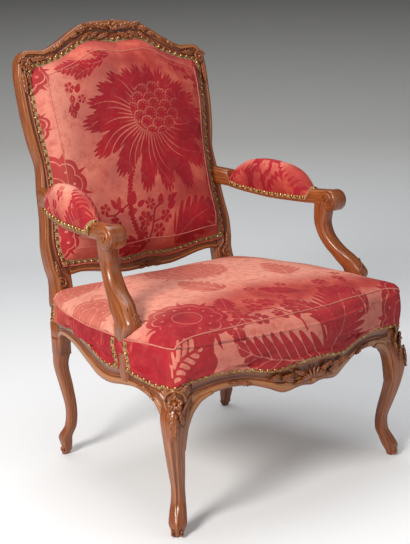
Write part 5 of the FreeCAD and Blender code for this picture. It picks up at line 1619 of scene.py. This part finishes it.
# Knees: a flower in an oval over three leaves; toes: a leaf over a pair of scrolls
corner_out = unit(np.array([1.0, -1, 0]))
knee = np.array([323.0, -284, 0])
level_side = unit(np.array([1.0, 1, 0]))
parts = carved_flower(knee + corner_out * -1.5 + [0, 0, 284], corner_out, 16, 9, 6)
a = np.linspace(0, 2 * np.pi, carved_rows)
oval = (knee + corner_out * (-4 - 7 * np.cos(a) ** 2)[:, None] + [0, 0, 284] + level_side * (21 * np.cos(a))[:, None]
        + UP * (23 * np.sin(a))[:, None])
grid = tube(oval, 3.0, carved_columns)
# The oval is a little raised, for a faint painted highlight.
parts.append((grid, np.full(grid.shape[:2], -0.3)))
parts.append(carved_leaf(knee + corner_out * 9 + [0, 0, 268], [0, 0, -1], corner_out + [0, 0, 0.1], 52, 20, 6, 1.0, 4,
                         0))
for way in (1, -1):
    parts.append(carved_leaf(knee + corner_out * 2.5 + level_side * way * 9 + [0, 0, 268],
                             np.array([0, 0, -1.0]) + level_side * way * 0.25,
                             corner_out * 0.8 + level_side * way * 0.6, 34, 15, 6, 1.0, 4, 0))
    parts.append(carved_leaf(knee + corner_out * -8 + level_side * way * 9.6 + [0, 0, 300],
                             np.array([0, 0, 0.7]) + level_side * way * 0.6, corner_out + level_side * way * 0.3, 24,
                             11, 4.5, 1, 3, 0))
carving("knee_carving", parts, True)
toe = np.array([322.0, -276, 0]) + corner_out * -10
parts = [carved_leaf(toe + corner_out * 13.0 + [0, 0, 19], [0, 0, 1], corner_out + [0, 0, 0.9], 26, 16, 3.5, 0.0, 4,
                     0)]
for lean in (1, -1):
    parts.append(volute(toe + corner_out * 8 + level_side * lean * 9 + [0, 0, 12], corner_out, UP, level_side * lean,
                        9.5, 1.3, 3.0, 2.4))
carving("toe_carving", parts, True)

# Front rail: a pierced shell between leaves at the middle, a small leaf at each end of the rise
front_out = -REARWARD
y = float(front_face_y(0.0))
parts = [carved_leaf([3.5 * k, y - 1, 272 + abs(k) * 0.8], [0.42 * k, 0, 1 - 0.09 * abs(k)], front_out,
                     27 - abs(k) * 1.6, 7.5, 5, 3, 0, 0, 0.1)
         for k in range(-4, 5)]
parts.append(carved_boss([0, y - 0.5, 271], front_out, 7, 6))
for side in (-1, 1):
    for x, z, degrees, length, width, sweep in ((12, 272, 6, 44, 15, -4), (16, 285, 16, 40, 13, 5),
                                                (46, 277, 24, 40, 14, -4), (50, 292, -4, 36, 12, 4),
                                                (80, 292, 8, 34, 13, -5), (84, 299, -16, 28, 11, 3)):
        a = math.radians(degrees)
        parts.append(carved_leaf([side * x, float(front_face_y(x)) - 0.4, z],
                                 [side * math.cos(a), 0.12 * x / 80, math.sin(a)], front_out, length, width, 5, 2, 4,
                                 side * sweep))
    parts.append(carved_boss([side * 36, float(front_face_y(36.0)) - 0.5, 290], front_out, 4, 4.5))
    end = [side * 176, float(front_face_y(176.0)), 297]
    parts += [carved_leaf(end, [-side, -0.12, -0.3], front_out + np.array([0.2 * side, 0, 0]), 30, 12, 5, 2, 4, 0),
              carved_leaf(end, [side, 0.2, 0.1], front_out + np.array([0.2 * side, 0, 0]), 26, 11, 4, 1, 3, 0)]
carving("front_rail_carving", parts)
parts = [carved_leaf([float(side_face_x(-205.0)) - 0.6, -205, 292], [0.05, 1, 0.05], [1, 0, 0], 34, 12, 4.5, 1.5, 4,
                     0),
         carved_leaf([float(side_face_x(-205.0)) - 0.6, -208, 290], [-0.05, -0.6, -0.5], [1, 0, 0], 22, 11, 4.5, 1.5,
                     3, 0)]
carving("side_rail_carving", parts, True)

# Arms: a scroll cut in each side of the front end; supports: a leaf up the foot
parts = []
for side in (-1, 1):
    parts.append(volute(scroll + [side * 20.5, 0, 0], REARWARD, UP, np.array([side * 1.0, 0, 0]), 17, 1.6, 3.0, 0.6))
carving("arm_scroll_carving", parts, True)
parts = [carved_leaf([333, -139, 392], [0.1, -0.15, 1], [1, -0.15, 0], 58, 30, 6, 1, 4, 2),
         carved_leaf([320, -166, 392], [0.05, 0.12, 1], [0.25, -1, 0], 50, 24, 6, 1, 4, 0)]
carving("support_carving", parts, True)

# Rear feet: a scroll each side of the toe
parts = []
for lean in (1, -1):
    side_way = unit(np.array([lean * 1.0, 0, 0]))
    parts.append(volute(np.array([249 + lean * 10.0, 257, 14]), REARWARD, UP, side_way, 8, 1.2, 2.4, 2.2))
carving("rear_toe_carving", parts, True)


# Materials of the solids that stay in view
for node in ("corner_blocks", "joint_pegs"):
    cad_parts[node].data.materials.clear()
    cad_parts[node].data.materials.append(wood_plain)


# Floor, backdrop, lamps and camera
def paper(name):
    """Grey studio paper that runs from the floor up, pale on the floor and darker with height, a painted shade for
    the light falling off up the backdrop.
    """
    material, tree = new_material(name)
    place = add(tree, "TexCoord", pick="Object")
    # The colour darkens with height: painted shade up the backdrop.
    height = add(tree, "SeparateXYZ", Vector=place, pick="Z")
    share = add(tree, "MapRange", Value=height, From_Min=0.0, From_Max=1.2)
    colour = add(tree, "ValToRGB", Fac=share, stops=[(0.0, "#EFF1F3"), (0.08, "#E2E4E6"), (0.35, "#B4B4B2"),
                                                     (1.0, "#585857")])
    # For camera rays the paper also glows faintly in its own colour.
    seen = add(tree, "LightPath", pick="Is Camera Ray")
    glow = add(tree, "Math", {"operation": "MULTIPLY"}, sockets={0: seen, 1: 0.14})
    shader = add(tree, "BsdfPrincipled", Base_Color=colour, Emission_Color=colour, Emission_Strength=glow,
                 Roughness=0.9)
    add(tree, "OutputMaterial", Surface=shader)
    return material


paper_material = paper("studio_paper")
# The paper lies flat, then sweeps up as a quarter circle and stands
flat_end, sweep_radius = 2.2, 1.6
turn = np.linspace(0, np.pi / 2, 24)[1:]
s = np.concatenate([np.linspace(-6, flat_end, 20), flat_end + sweep_radius * np.sin(turn), np.full(10, 3.8)])
h = np.concatenate([np.zeros(20), sweep_radius - sweep_radius * np.cos(turn), np.linspace(1.9, 6, 10)])
azimuth = math.radians(-38.6)
ahead = np.array([-math.sin(azimuth), math.cos(azimuth)])
right = np.array([ahead[1], -ahead[0]])
across_m = np.linspace(-7, 7, 3)
grid = joined(ahead[0] * s[:, None] + right[0] * across_m, ahead[1] * s[:, None] + right[1] * across_m, h[:, None])
me = bpy.data.meshes.new("studio_paper")
me.from_pydata(grid.reshape(-1, 3).tolist(), [], grid_quads(len(s), 3)[:, ::-1].tolist())
me.polygons.foreach_set("use_smooth", np.ones(len(me.polygons), bool))
floor = bpy.data.objects.new("studio_paper", me)
bpy.context.scene.collection.objects.link(floor)
floor.data.materials.append(paper_material)


def lamp(name, place, target, size, power, colour="#FFFFFF"):
    """A round area lamp that faces its target."""
    data = bpy.data.lights.new(name, "AREA")
    data.shape = "DISK"
    data.size = size
    data.energy = power
    data.color = linear(colour)[:3]
    obj = bpy.data.objects.new(name, data)
    obj.location = place
    direction = np.array(target, float) - np.array(place, float)
    obj.rotation_euler = Vector(direction).to_track_quat("-Z", "Y").to_euler()
    bpy.context.scene.collection.objects.link(obj)


lamp("key", (-3.0, -1.0, 2.3), (0, 0, 0.5), size=1.1, power=128, colour="#FFFAF4")
lamp("fill", (1.2, -3.0, 1.6), (0, 0, 0.5), size=2.2, power=9, colour="#F6F7FF")
lamp("top", (0.1, 0.5, 3.0), (0, 0, 0.4), size=2.2, power=40)
world = bpy.data.worlds.new("studio")
world.use_nodes = True
world.node_tree.nodes["Background"].inputs["Color"].default_value = linear("#C9CCD0")
world.node_tree.nodes["Background"].inputs["Strength"].default_value = 0.3
bpy.context.scene.world = world

camera_data = bpy.data.cameras.new("camera")
sensor_width, focal_pixels, picture_height, camera_distance = 36.0, 1083.4, 544, 2.449
camera_data.sensor_width = sensor_width
camera_data.sensor_fit = "AUTO"
camera_data.lens = focal_pixels / picture_height * sensor_width
camera = bpy.data.objects.new("camera", camera_data)
elevation, roll = math.radians(12.6), -0.028
back = np.array([math.sin(azimuth) * math.cos(elevation), -math.cos(azimuth) * math.cos(elevation),
                 math.sin(elevation)])
target = np.array([-0.015, -0.003 + shift_y * 0.001, 0.449])
x_axis = unit(np.cross([0, 0, 1.0], back))
y_axis = np.cross(back, x_axis)
x_axis, y_axis = math.cos(roll) * x_axis + math.sin(roll) * y_axis, -math.sin(roll) * x_axis + math.cos(roll) * y_axis
matrix = np.eye(4)
matrix[:3, 0], matrix[:3, 1], matrix[:3, 2], matrix[:3, 3] = x_axis, y_axis, back, target + back * camera_distance
camera.matrix_world = Matrix(matrix.tolist())
bpy.context.scene.collection.objects.link(camera)
bpy.context.scene.camera = camera
bpy.context.scene.view_settings.view_transform = "Standard"
